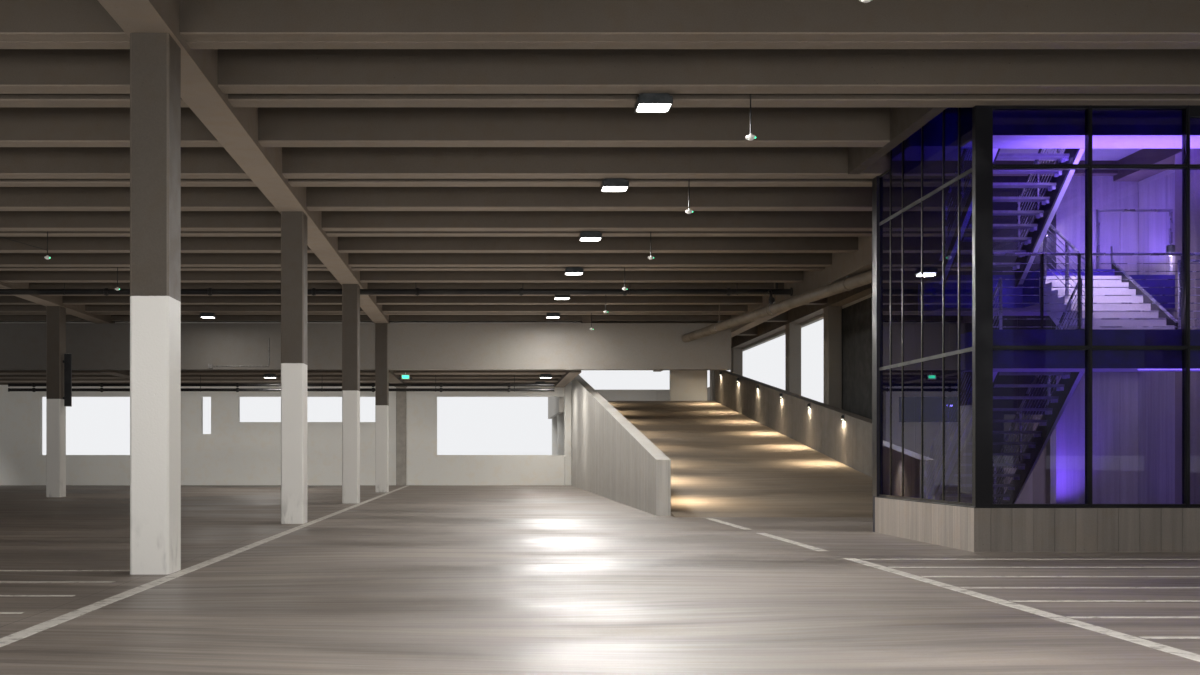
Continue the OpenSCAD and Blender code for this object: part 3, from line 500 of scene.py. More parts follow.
@dataclass(frozen=True)
class CastConcrete(Finish):
    """Cast concrete, with form boards, a coat up to a level, a stained top, and painted light and shade: tones
    by facing, a colour of light on upright faces, and a shade towards -X.
    """

    cloud: float = 0.35
    grain: float = 0.18
    holes: float = 1.0
    board: float = 0.0
    streak: float = 0.1
    coat: Color | None = None
    coat_level: float = 1.77
    top: Color | None = None
    # Painted light and shade by facing: the tone of downward faces (lit soffits) and of upright faces (shaded
    # sides).
    under: float = 1.0
    upright: float = 1.0
    # Painted light: faces along X are lighter by this factor.
    painted_flank_light: float = 1.0
    # A colour of painted light on upright faces.
    side: Color | None = None
    zone: Zone | None = None
    # Painted shade: the tone that the colour falls to towards -X.
    painted_left_shade: float = 1.0

    def inputs(self, graph: Graph) -> dict[str, Any]:
        """Cast grain, the boards, painted light and shade by place and by facing, the stained top, the coat
        and the zone.
        """
        place = graph.place()
        color, height, wear = graph.put(CastGrain, place, self.color, self.cloud, self.grain, self.holes)
        rough = graph.ramp(wear, 0.3, 0.7, self.roughness - 0.08, self.roughness + 0.08)
        if self.board:
            board, groove, streak = graph.put(BoardMarks, place, self.board, 0.006)
            sided = graph.facing(2, 1.0, 0.0)
            tone = graph.times(graph.ramp(board, 0.0, 1.0, 1 - 0.7 * self.streak, 1 + 0.4 * self.streak),
                               graph.ramp(streak, 0.3, 0.7, 1 - self.streak, 1 + 0.6 * self.streak),
                               graph.ramp(groove, 0.0, 1.0, 1.0, 0.82))
            color = graph.toned(color, graph.blend(sided, 1.0, tone))
            height = graph.minus(height, graph.times(groove, sided, 1.2))
        # Painted shade: darker towards -X, down to the given tone at x = -3 m.
        if self.painted_left_shade != 1.0:
            color = graph.toned(color, graph.ramp(graph.axes(place)[0], -3.0, 2.6, self.painted_left_shade, 1.0))
        # Painted light and shade: downward faces lighter and upright faces darker, for light that comes from
        # below.
        if self.under != 1.0 or self.upright != 1.0:
            down = graph.times(graph.normal()[2], -1.0)
            color = graph.toned(color, graph.ramp(down, 0.4, 0.8, self.upright, self.under))
        # Painted light: faces that face along X are made lighter.
        if self.painted_flank_light != 1.0:
            color = graph.toned(color, graph.facing(0, 1.0, self.painted_flank_light))
        # Upright faces take the side colour: painted coloured light.
        if self.side:
            color = graph.mix(graph.facing(2), graph.toned(self.side, wear), color)
        if self.top:
            patch = graph.ramp(graph.noise(place, 0.55, 3.0, 0.6), 0.36, 0.64)
            stained = graph.toned(graph.mix(patch, tuple(c * 0.84 for c in self.top), self.top),
                                  graph.ramp(wear, 0.3, 0.7, 0.94, 1.04))
            color = graph.mix(graph.ramp(graph.normal()[2], 0.6, 0.8), color, stained)
        if self.coat:
            mask, scuff = graph.put(HeightCoat, place, self.coat_level, 0.003)
            color = graph.mix(mask, color, graph.mix(scuff, self.coat, tuple(c * 0.62 for c in self.coat)))
            rough = graph.blend(mask, rough, 0.42)
        if self.zone:
            along = graph.axes(place)[self.zone.axis]
            inside = graph.times(graph.math("GREATER_THAN", along, self.zone.low),
                                 graph.math("LESS_THAN", along, self.zone.high))
            tone = graph.ramp(wear, 0.3, 0.7, 0.88, 1.1)
            color = graph.mix(inside, color, graph.toned(self.zone.color, tone))
        return {"Base Color": color, "Roughness": rough, "Normal": graph.bump(height, 0.004)}


@dataclass(frozen=True)
class WornFloor(Finish):
    """Floated concrete that tyres have polished, with streaks along X and joints sawn between the bays."""

    dark: Color = (0.165, 0.139, 0.12)
    fineness: float = 1.0
    shine: float = 0.44
    sawn: bool = True

    def inputs(self, graph: Graph) -> dict[str, Any]:
        """Streaks, patches and joints, one on each second column line along Y and one down each aisle."""
        place = graph.place()
        streak, patch, scratch = graph.put(FloorStreaks, place, self.fineness)
        cast = graph.put(CastGrain, place, self.color, 0.25, 0.16, 0.25)[0]
        color = graph.toned(graph.mix(graph.ramp(streak, 0.28, 0.7), self.dark, cast),
                            graph.ramp(patch, 0.3, 0.7, 0.78, 1.14))
        rough = graph.math("ADD", graph.ramp(patch, 0.3, 0.7, self.shine - 0.06, self.shine + 0.2),
                           graph.ramp(scratch, 0.3, 0.7, -0.05, 0.07))
        height = graph.times(scratch, 0.5)
        if self.sawn:
            x, y, _ = graph.axes(place)
            bay = 2 * GRID.half_bay
            bays = graph.math("DIVIDE", graph.math("ADD", y, 10 * bay), bay)
            cross = graph.times(graph.from_edge(bays), bay)
            aisles = [graph.math("ABSOLUTE", graph.minus(x, line)) for line in (GRID.line_a, GRID.line_b)]
            nearest = graph.math("MINIMUM", cross, graph.math("MINIMUM", *aisles))
            joint = graph.ramp(nearest, 0.0015, 0.003, 1.0, 0.0)
            color = graph.mix(graph.times(joint, 0.75), color, (0.05, 0.045, 0.04))
            height = graph.minus(height, graph.times(joint, 4.0))
        return {"Base Color": color, "Roughness": rough, "Normal": graph.bump(height, 0.0012, 0.5)}


@dataclass(frozen=True)
class CoatedMetal(Finish):
    """Painted, anodised or bare metal with dust and rubbed patches."""

    rubbed: Color = (0.1, 0.1, 0.1)
    metallic: float = 0.0
    scale: float = 7.0

    def inputs(self, graph: Graph) -> dict[str, Any]:
        """Another colour and more roughness where the handling wear says so."""
        rub, height = graph.put(HandlingWear, graph.place(), self.scale)
        return {
            "Base Color": graph.mix(rub, self.color, self.rubbed),
            "Roughness": graph.ramp(rub, 0.0, 1.0, self.roughness - 0.06, self.roughness + 0.12),
            "Metallic": self.metallic,
            "Normal": graph.bump(height, 0.0004, 0.25),
        }


@dataclass(frozen=True)
class TintedGlass(Finish):
    """Glass with a violet body tint, which paints the stair's violet light, that lets lamp light through; the
    panes that face along X take a darker tint, which is painted shade.
    """

    # Painted shade: a far darker tint for the panes that face along X.
    side: Color = (0.1, 0.085, 0.6)
    dust: float = 0.02
    shadow: float = 0.95

    def inputs(self, graph: Graph) -> dict[str, Any]:
        """The tints and the dust, with less of the pane for shadow rays."""
        rub, _ = graph.put(HandlingWear, graph.place(), 1.4)
        shadow = graph.add("LightPath").outputs["Is Shadow Ray"]
        return {
            # The front tint paints violet light; the side tint, on panes facing along X, paints shade.
            "Base Color": graph.mix(graph.facing(0), self.color, self.side),
            "Roughness": graph.ramp(rub, 0.0, 1.0, self.roughness, self.roughness + self.dust),
            "IOR": 1.5,
            "Transmission Weight": 1.0,
            "Alpha": graph.ramp(shadow, 0.0, 1.0, 1.0, self.shadow),
        }


@dataclass(frozen=True)
class Glow(Finish):
    """A lens or tube that gives light, mottled by its prisms or its coat."""

    strength: float = 3.0
    low: float = 0.7

    def inputs(self, graph: Graph) -> dict[str, Any]:
        """The light that it gives, on a smooth and even body."""
        mottle = graph.ramp(graph.noise(graph.place(), 60.0, 2.0), 0.2, 0.6)
        light = graph.mix(mottle, tuple(c * self.low for c in self.color), self.color)
        return {**super().inputs(graph), "Emission Color": light, "Emission Strength": self.strength}


@dataclass(frozen=True)
class RoadPaint(Finish):
    """Road paint worn through by tyres to the concrete below it."""

    worn: Color = (0.3, 0.27, 0.24)

    def inputs(self, graph: Graph) -> dict[str, Any]:
        """The concrete's colour where a noise is high."""
        place = graph.place()
        patch = graph.noise(place, 14.0, 5.0, 0.7)
        return {
            "Base Color": graph.mix(graph.ramp(patch, 0.48, 0.68), self.color, self.worn),
            "Roughness": graph.ramp(patch, 0.3, 0.7, self.roughness, self.roughness + 0.15),
            "Normal": graph.bump(graph.noise(place, 160.0, 2.0), 0.001, 0.4),
        }


class Look(Enum):
    """Every finish of the building, and of the studio's floor, by what it is on."""

    # Painted light and shade: soffits lighter and upright rib sides darker.
    CEILING = CastConcrete((0.18, 0.149, 0.119), 0.72, top=(0.42, 0.39, 0.35), under=1.3, upright=0.56)
    # Painted light and shade: soffits lighter, upright faces darker, and faces along X much lighter.
    GIRDER = CastConcrete((0.18, 0.149, 0.119), 0.72, top=(0.42, 0.39, 0.35), under=1.7, upright=0.56,
        painted_flank_light=2.2)
    # Painted shade: dark, so that the trimmer beams sink into the ceiling's shadow.
    TRIMMER = CastConcrete((0.075, 0.062, 0.05), 0.75)
    # Painted light: faces along X lighter. The coat and the bare stretch at y 10 to 12 are real colours.
    COLUMN = CastConcrete((0.09, 0.076, 0.062), 0.68, coat=(0.79, 0.78, 0.75), painted_flank_light=1.6,
        zone=Zone(1, 10.0, 12.0, (0.31, 0.285, 0.25)))
    BARE_COLUMN = CastConcrete((0.26, 0.232, 0.2), 0.7)
    # Painted shade: darker towards -X.
    BEAM_WALL = CastConcrete((0.305, 0.281, 0.252), 0.66, cloud=0.2, painted_left_shade=0.5)
    WALL = CastConcrete((0.5, 0.485, 0.455), 0.62, cloud=0.16, board=0.1525)
    # Painted shade: the ramp wall's concrete, darkened for the shaded right wall.
    RAMP_SIDE_PAINTED_SHADE = CastConcrete((0.155, 0.141, 0.123), 0.64, cloud=0.2, board=0.1525)
    # Painted light and shade: the colour darkened for the shaded front, and faces along X much lighter for the
    # lamp light on them.
    BASE = CastConcrete((0.19, 0.169, 0.15), 0.62, cloud=0.28, board=0.1525, streak=0.12, painted_flank_light=2.6)
    # Painted light: the violet side colour paints the violet lamp light on the landings' upright edges.
    LANDING = CastConcrete((0.5, 0.49, 0.5), 0.6, cloud=0.16, side=(0.055, 0.02, 0.46))
    SMOOTH = CastConcrete((0.62, 0.6, 0.57), 0.6, cloud=0.16)
    # Painted shade: a near black stretch behind the left lane, where the hall beyond lies in shadow.
    SHAFT = CastConcrete((0.5, 0.475, 0.45), 0.6, cloud=0.2, board=0.305, streak=0.13,
        zone=Zone(0, 6.0, 8.31, (0.022, 0.02, 0.035)))
    PANEL = CastConcrete((0.53, 0.505, 0.465), 0.68, cloud=0.16, grain=0.25, holes=0.5)
    # Painted shade: near black body for the shaded inner faces. The outer face, x 9.14 to 9.2, keeps the
    # concrete's colour.
    SCREEN = CastConcrete((0.014, 0.014, 0.012), 0.6, cloud=0.25, grain=0.22, holes=0.5,
        zone=Zone(0, 9.14, 9.2, (0.5, 0.475, 0.435)))
    PAINTED = CastConcrete((0.7, 0.69, 0.652), 0.5, cloud=0.08, grain=0.05, holes=0.35)
    FLOOR = WornFloor((0.315, 0.27, 0.233))
    RAMP = WornFloor((0.275, 0.22, 0.161), dark=(0.185, 0.145, 0.105), fineness=1.3, shine=0.48, sawn=False)
    MULLION = CoatedMetal((0.011, 0.011, 0.014), 0.34, (0.018, 0.018, 0.022), 0.3, 3.0)
    # Near black steel paint, with a painted indigo cast for the violet light on it.
    STEEL = CoatedMetal((0.03, 0.028, 0.045), 0.4, (0.06, 0.06, 0.07), 0.5)
    # Pale steel paint with a painted highlight: lavender for the violet light on the flanges and tread
    # brackets.
    FLANGE_PAINTED_HIGHLIGHT = CoatedMetal((0.78, 0.76, 0.84), 0.4, (0.66, 0.64, 0.72), 0.2)
    TREAD = CoatedMetal((0.3, 0.29, 0.3), 0.55, (0.4, 0.4, 0.41), 0.3, 20.0)
    RAIL = CoatedMetal((0.5, 0.5, 0.52), 0.3, (0.64, 0.64, 0.66), 0.9)
    HOUSING = CoatedMetal((0.03, 0.035, 0.038), 0.42, (0.06, 0.065, 0.07), scale=18.0)
    BLACK_PIPE = CoatedMetal((0.012, 0.012, 0.013), 0.45, (0.035, 0.033, 0.03), scale=3.0)
    DRAIN = CoatedMetal((0.21, 0.174, 0.131), 0.6, (0.18, 0.147, 0.11), scale=2.5)
    ZINC = CoatedMetal((0.32, 0.31, 0.3), 0.42, (0.2, 0.19, 0.18), 0.8, 30.0)
    BLADE = CoatedMetal((0.02, 0.021, 0.024), 0.5, (0.04, 0.041, 0.044), scale=5.0)
    COPING = CoatedMetal((0.3, 0.3, 0.295), 0.4, (0.24, 0.24, 0.235), 0.6)
    SENSOR = CoatedMetal((0.78, 0.78, 0.76), 0.35, (0.7, 0.7, 0.67), scale=40.0)
    SEALANT = CoatedMetal((0.1, 0.095, 0.09), 0.75, (0.15, 0.14, 0.13), scale=25.0)
    # Painted light and shade: the violet tint paints the stair's violet light, and the darker side tint paints
    # shade.
    GLASS = TintedGlass((0.55, 0.48, 0.96), 0.0)
    LENS = Glow((1.0, 0.98, 0.94), 0.3, 7.5)
    SPOT = Glow((1.0, 0.93, 0.8), 0.3, 8.0)
    VIOLET = Glow((0.36, 0.24, 1.0), 0.3, 2.2)
    GREEN = Glow((0.05, 0.9, 0.42), 0.3, 3.0)
    PAINT = RoadPaint((0.66, 0.63, 0.58), 0.5)
    STUDIO_FLOOR = Finish((0.86, 0.86, 0.85), 0.8)

    def material(self) -> bpy.types.Material:
        """The material of this finish, built once."""
        name = f"{self.name.lower()}_finish"
        made = bpy.data.materials.get(name)
        if made is None:
            made = bpy.data.materials.new(name)
            graph = Graph.fresh(made)
            shader = graph.add("BsdfPrincipled", self.value.inputs(graph))
            graph.add("OutputMaterial", {"Surface": shader.outputs[0]})
        return made


NODES_OF = {
    Look.FLOOR: "ground_slab",
    Look.COLUMN: "columns_line_a columns_line_b",
    Look.BARE_COLUMN: "facade_columns",
    Look.CEILING: "edge_beams bracket_beams low_girders landing_beams ribs_left ribs_right low_ribs"
                  " deck_left deck_right low_deck",
    Look.GIRDER: "girders drop_beam",
    Look.TRIMMER: "trimmer_beams",
    Look.BEAM_WALL: "transfer_beam",
    Look.PAINTED: "ramp_piers rear_wall_piers rear_wall_sills rear_wall_heads",
    Look.RAMP: "ramp_slab landing_deck",
    Look.WALL: "ramp_wall_left",
    Look.RAMP_SIDE_PAINTED_SHADE: "ramp_wall_right",
    Look.BASE: "stair_base",
    Look.SCREEN: "side_screen",
    Look.PANEL: "crash_walls roof_panels low_panels stair_head stair_head_roof",
    Look.SMOOTH: "stair_middle_flight",
    Look.SHAFT: "stair_back_wall",
    Look.LANDING: "stair_landings",
    Look.MULLION: "stair_frame_front stair_frame_left",
    Look.GLASS: "stair_glass",
    Look.STEEL: "stair_stringers",
    Look.TREAD: "stair_treads",
    Look.RAIL: "stair_railings",
    Look.HOUSING: "luminaires ramp_lights",
    Look.BLACK_PIPE: "sprinkler_pipes",
    Look.DRAIN: "drain_pipe",
    Look.BLADE: "blade_panel",
    Look.SENSOR: "sensors",
    Look.LENS: "luminaire_lenses",
}


def add_object(name: str, data: bpy.types.ID) -> bpy.types.Object:
    """A new object of the scene."""
    made = bpy.data.objects.new(name, data)
    bpy.context.scene.collection.objects.link(made)
    return made


def build(name: str, look: Look, *shapes: Shape, slot: str = "black_metal", bevel: float = 0.0
          ) -> bpy.types.Object:
    """Makes a finished piece.

    Args:
        name: Name of the piece.
        look: Its finish.
        *shapes: The shapes that it is made of, in the frame.
        slot: Name of a material slot; not used.
        bevel: Width of the rounding of its edges, or nought.

    Returns:
        The object, riding on the building.
    """
    starts = np.cumsum([0] + [len(s.points) for s in shapes[:-1]])
    faces = np.concatenate([s.faces + start for s, start in zip(shapes, starts)])
    mesh = bpy.data.meshes.new(name)
    mesh.from_pydata(np.concatenate([s.points for s in shapes]).tolist(), [], faces.tolist())
    work = bmesh.new()
    work.from_mesh(mesh)
    bmesh.ops.remove_doubles(work, verts=work.verts, dist=1e-6)
    bmesh.ops.recalc_face_normals(work, faces=work.faces)
    work.to_mesh(mesh)
    work.free()
    mesh.polygons.foreach_set("use_smooth", np.ones(len(mesh.polygons), bool))
    mesh.set_sharp_from_angle(angle=math.radians(35))
    mesh.materials.append(look.material())
    piece = add_object(name, mesh)
    if bevel:
        rounding = piece.modifiers.new("rounded_edges", "BEVEL")
        rounding.width, rounding.segments, rounding.limit_method = bevel, 2, "ANGLE"
    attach(piece, BODY)
    LOG.info("%s: %d faces", name, len(mesh.polygons))
    return piece


@dataclass
class Structure:
    """The cast frame, decks, walls and panels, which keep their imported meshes."""

    nodes: dict[str, bpy.types.Object]

    def make(self) -> None:
        """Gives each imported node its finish, and leaves its mesh alone."""
        bare = set(self.nodes)
        for look, names in NODES_OF.items():
            for name in names.split():
                slots = self.nodes[name].material_slots
                for slot in slots:
                    slot.material = look.material()
                if not slots:
                    self.nodes[name].data.materials.append(look.material())
                bare.discard(name)
        if bare:
            raise ValueError(f"these nodes have no finish: {sorted(bare)}")


@dataclass
class FloorMarkings:
    """Lines painted on the floor of the hall: stripes along the aisles, and rows of thin lines across them.

    A stripe is given by its name, X, stretches along Y, steps and seed, and a row of lines by its name, span
    along X, first line, pitch, count and seed.
    """

    lift: float = 0.0012
    uneven: float = 0.012
    stripe: float = 0.082
    line: float = 0.05
    line_steps: int = 40
    stripes: tuple[Any, ...] = (
        ("left_aisle_stripe", 1.4, ((-16.3, 10.6),), 240, 3),
        ("right_aisle_stripe", 5.635, ((-16.2, -9.95), (-9.3, -7.15), (-6.6, -4.5)), 60, 5),
    )
    lines: tuple[Any, ...] = (
        ("left_stall_lines", (-1.35, 1.16), -10.87, 0.69, 8, 20),
        ("right_stall_lines", (5.69, 8.75), -10.02, 0.615, 11, 60),
    )

    def strip(self, start: Place, end: Place, width: float, steps: int, seed: int) -> Shape:
        """Thin coat of road paint with slightly uneven edges.

        The cross-section is a low trapezium, carried from start to end, and its half width is
        width / 2 + a noise of a few hundredths of the width.

        Args:
            start: One end of the middle line, along X and Y.
            end: Its other end.
            width: Width of the coat.
            steps: Number of cross-sections.
            seed: Seed of the uneven edge.

        Returns:
            The coat as a shape.
        """
        a, b = np.array([*start, GRID.floor]), np.array([*end, GRID.floor])
        side = np.cross([0, 0, 1.0], (b - a) / np.linalg.norm(b - a))
        edge = width / 2 + np.random.default_rng(seed).normal(0, self.uneven, (steps, 2)) * width
        across = np.stack([-edge[:, 0], -edge[:, 0] * 0.97, edge[:, 1] * 0.97, edge[:, 1]], axis=1)
        middle = a + np.linspace(0, 1, steps)[:, None] * (b - a)
        raised = at(0, 0, [0, self.lift, self.lift, 0])
        return capped(middle[:, None] + across[..., None] * side + raised, middle)

    def make(self) -> None:
        """Builds the stripes and the rows of stall lines, each coat with a seed of its own."""
        for name, x, runs, steps, seed in self.stripes:
            coats = [self.strip((x, a), (x, b), self.stripe, steps, seed + i)
                     for i, (a, b) in enumerate(runs)]
            build(name, Look.PAINT, *coats, slot="white")
        for name, (a, b), first, pitch, count, seed in self.lines:
            places = first - pitch * np.arange(count)
            coats = [self.strip((a, y), (b, y), self.line, self.line_steps, seed + i)
                     for i, y in enumerate(places)]
            build(name, Look.PAINT, *coats, slot="white")


@dataclass
class HallLighting:
    """Square surface luminaires under the rib pairs, with their lenses, screws and feeds."""

    width: float = 0.24
    height: float = 0.07
    lens: float = 0.014
    rim: float = 0.008
    row_x: float = 4.365
    left_x: float = -1.731
    low_left_x: float = -1.098
    screw: Profile = ((0, 0.002), (0.005, 0.002), (0.005, -0.004), (0.003, -0.006), (0, -0.006))
    screw_inset: float = 0.02
    fin: Place = (0.205, 0.003, 0.022)
    fin_z: float = -0.012
    fin_span: tuple[float, float, int] = (-0.08, 0.08, 9)
    feed_r: float = 0.008
    feed_z: float = 0.012
    feed_bend: float = 0.06
    feed_rise: float = 0.225

    def places(self) -> np.ndarray:
        """Middle of each luminaire under its ribs: the long row, and one at the left of each hall."""
        step = GRID.step_line
        pair = np.array([*range(step), step - 1, step, step + 1, step])
        x = np.full(len(pair), self.row_x)
        x[[step, -1]] = self.left_x, self.low_left_x
        return at(x, GRID.pair_y(pair), np.where(pair < step, GRID.rib_soffit, GRID.low_rib_soffit))

    def lens_shape(self) -> Shape:
        """Cushion-shaped lenses with fine prisms.

        A ring is a rounded square |x|^8 + |y|^8 = r^8, and its depth falls as the square root of
        1 - 0.8 r^4 towards the rim, with a small wave for the prisms.

        Returns:
            All lenses as one shape.
        """
        turn = circle(64)
        ratio = np.concatenate([[0.0], np.linspace(0.12, 1.0, 14), [1.0, 0.0]])[:, None]
        square = (np.abs(np.cos(turn)) ** 8 + np.abs(np.sin(turn)) ** 8) ** (-1 / 8)
        reach = ratio * (self.width / 2 - self.rim) * square
        wave = 1 + 0.05 * np.cos(ratio * 40)
        depth = self.lens * np.sqrt(np.clip(1 - 0.8 * ratio**4, 0, 1)) * wave / 1.05
        depth[-2:] = 0.0
        form = at(reach * np.cos(turn), reach * np.sin(turn), -depth)
        return grids((self.places() - [0, 0, self.height])[:, None, None] + form)

    def make(self) -> None:
        """Builds the lenses, rims, screws, cooling fins and conduit feeds."""
        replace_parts(build("prism_lenses", Look.LENS, self.lens_shape(), slot="lens"), "luminaire_lenses")
        tops, wide = self.places(), self.width
        edge, inset = (wide - self.rim) / 2, wide / 2 - self.screw_inset
        rims = [centred_boxes(tops + [x * edge, y * edge, -self.height - 0.003],
                              (self.rim if x else wide, self.rim if y else wide, self.rim))
                for x, y in ((1, 0), (-1, 0), (0, 1), (0, -1))]
        build("lamp_rims", Look.HOUSING, *rims, bevel=0.0015)
        corners = [(x * inset, y * inset, -self.height - 0.004) for x in (-1, 1) for y in (-1, 1)]
        build("lamp_screws", Look.ZINC, turned(self.screw, tops[:, None] + corners, 10))
        fins = tops + at(0, np.linspace(*self.fin_span)[:, None], self.fin_z)
        build("lamp_cooling_fins", Look.HOUSING, centred_boxes(fins, self.fin))
        along, up = quarter(self.feed_bend, 8)
        bend = np.array([-self.feed_bend, 0, self.feed_z]) + at(-along, 0, up)
        path = np.concatenate([[[0, 0, self.feed_z]], bend[1:], [bend[-1] + [0, 0, self.feed_rise]]])
        build("lamp_feeds", Look.ZINC, *[tube(top + path, self.feed_r, 8) for top in tops])


@dataclass
class Sensors:
    """Occupancy sensors on rods that hang from the deck, with a small lit tip."""

    row_x: float = 5.045
    left_x: float = -1.75
    left_pairs: tuple[int, ...] = (4, 5, 6)
    drop: float = 0.57
    rod_r: float = 0.005
    tip_offset: Place = (0.029, -0.014, -0.013)
    body: Profile = (
        (0, -0.032), (0.012, -0.0315), (0.021, -0.027), (0.0235, -0.0225), (0.0245, -0.0215),
        (0.032, -0.02), (0.035, -0.014), (0.0345, -0.006), (0.031, -0.001),
        (0.012, 0.0), (0.0115, 0.012), (0.0075, 0.014), (0, 0.014),
    )
    plate: Profile = ((0, 0), (0.024, 0), (0.024, -0.006), (0.012, -0.016), (0, -0.016))
    tip: Profile = ((0, -0.009), (0.006, -0.008), (0.008, -0.003), (0.006, 0.002), (0, 0.003))

    def make(self) -> None:
        """Builds the bodies, rods, ceiling plates and lights."""
        pair = np.array([*range(GRID.step_line), *self.left_pairs])
        x = np.where(np.arange(len(pair)) < GRID.step_line, self.row_x, self.left_x)
        tops, rise = at(x, GRID.pair_y(pair), GRID.deck_soffit - self.drop), [0, 0, self.drop]
        heads = build("sensor_heads", Look.SENSOR, turned(self.body, tops, 28), slot="white_plastic")
        build("sensor_rods", Look.BLACK_PIPE, rods(tops + [0, 0, 0.01], tops + rise, self.rod_r, 10))
        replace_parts(heads, "sensors")
        build("sensor_ceiling_plates", Look.BLACK_PIPE, turned(self.plate, tops + rise, 20))
        build("sensor_lights", Look.GREEN, turned(self.tip, tops + self.tip_offset, 12), slot="white_plastic")


@dataclass
class RampFittings:
    """Lamps and joints along the walls of the ramp."""

    start_y: float = -4.25
    end_y: float = 10.8175
    rise: float = 1.935
    wall_h: float = 0.73
    panels: int = 8
    first: float = 4.4
    pitch: float = 1.96
    lamps: int = 6
    lamp_drop: float = 0.08
    plate: Place = (0.006, 0.1, 0.09)
    glow_gap: float = 0.07
    joint: float = 0.0058
    joint_x: tuple[float, float] = (0.004, 0.154)
    joint_drop: float = 0.006
    lens: Profile = ((0, 0.002), (0.014, 0.002), (0.013, -0.003), (0.006, -0.006), (0, -0.006))

    def surface(self, y: np.ndarray) -> np.ndarray:
        """Height of the ramp at places along Y."""
        return GRID.floor + self.rise / (self.end_y - self.start_y) * (y - self.start_y)

    def lamp_line(self, x: float, pitches: Sequence[float]) -> np.ndarray:
        """Points at a place along X and at the lamps' height, so many pitches behind the first lamp."""
        y = self.start_y + self.first + self.pitch * np.array(pitches)
        return at(x, y, self.surface(y) + self.wall_h - self.lamp_drop)

    def lamp_places(self) -> np.ndarray:
        """Point on the right wall's face at the underside of each lamp."""
        return self.lamp_line(GRID.ramp_x1, range(self.lamps))

    def left_lamp_places(self) -> np.ndarray:
        """Points beside the left wall, across from the lamps, and two more at the wall's foot."""
        return self.lamp_line(GRID.ramp_x0 + self.glow_gap, (-1.72, -0.86, *range(self.lamps)))

    def make(self) -> None:
        """Builds the lamp lenses, their plates and the sealed joints of the wall."""
        under = self.lamp_places()
        build("ramp_lamp_lenses", Look.SPOT, turned(self.lens, under + [-0.02, 0, 0], 16), slot="lens")
        plates = centred_boxes(under + [-self.plate[0] / 2, 0, 0.03], self.plate)
        build("ramp_lamp_plates", Look.HOUSING, plates, bevel=0.002)
        y = self.start_y + (self.end_y - self.start_y) / self.panels * np.arange(1, self.panels) - 0.003
        (x0, x1), z, half = GRID.ramp_x1 + np.array(self.joint_x), self.surface(y), self.joint / 2
        joints = boxes(at(x0, y - half, z), at(x1, y + half, z + self.wall_h - self.joint_drop))
        build("ramp_wall_joints", Look.SEALANT, joints)


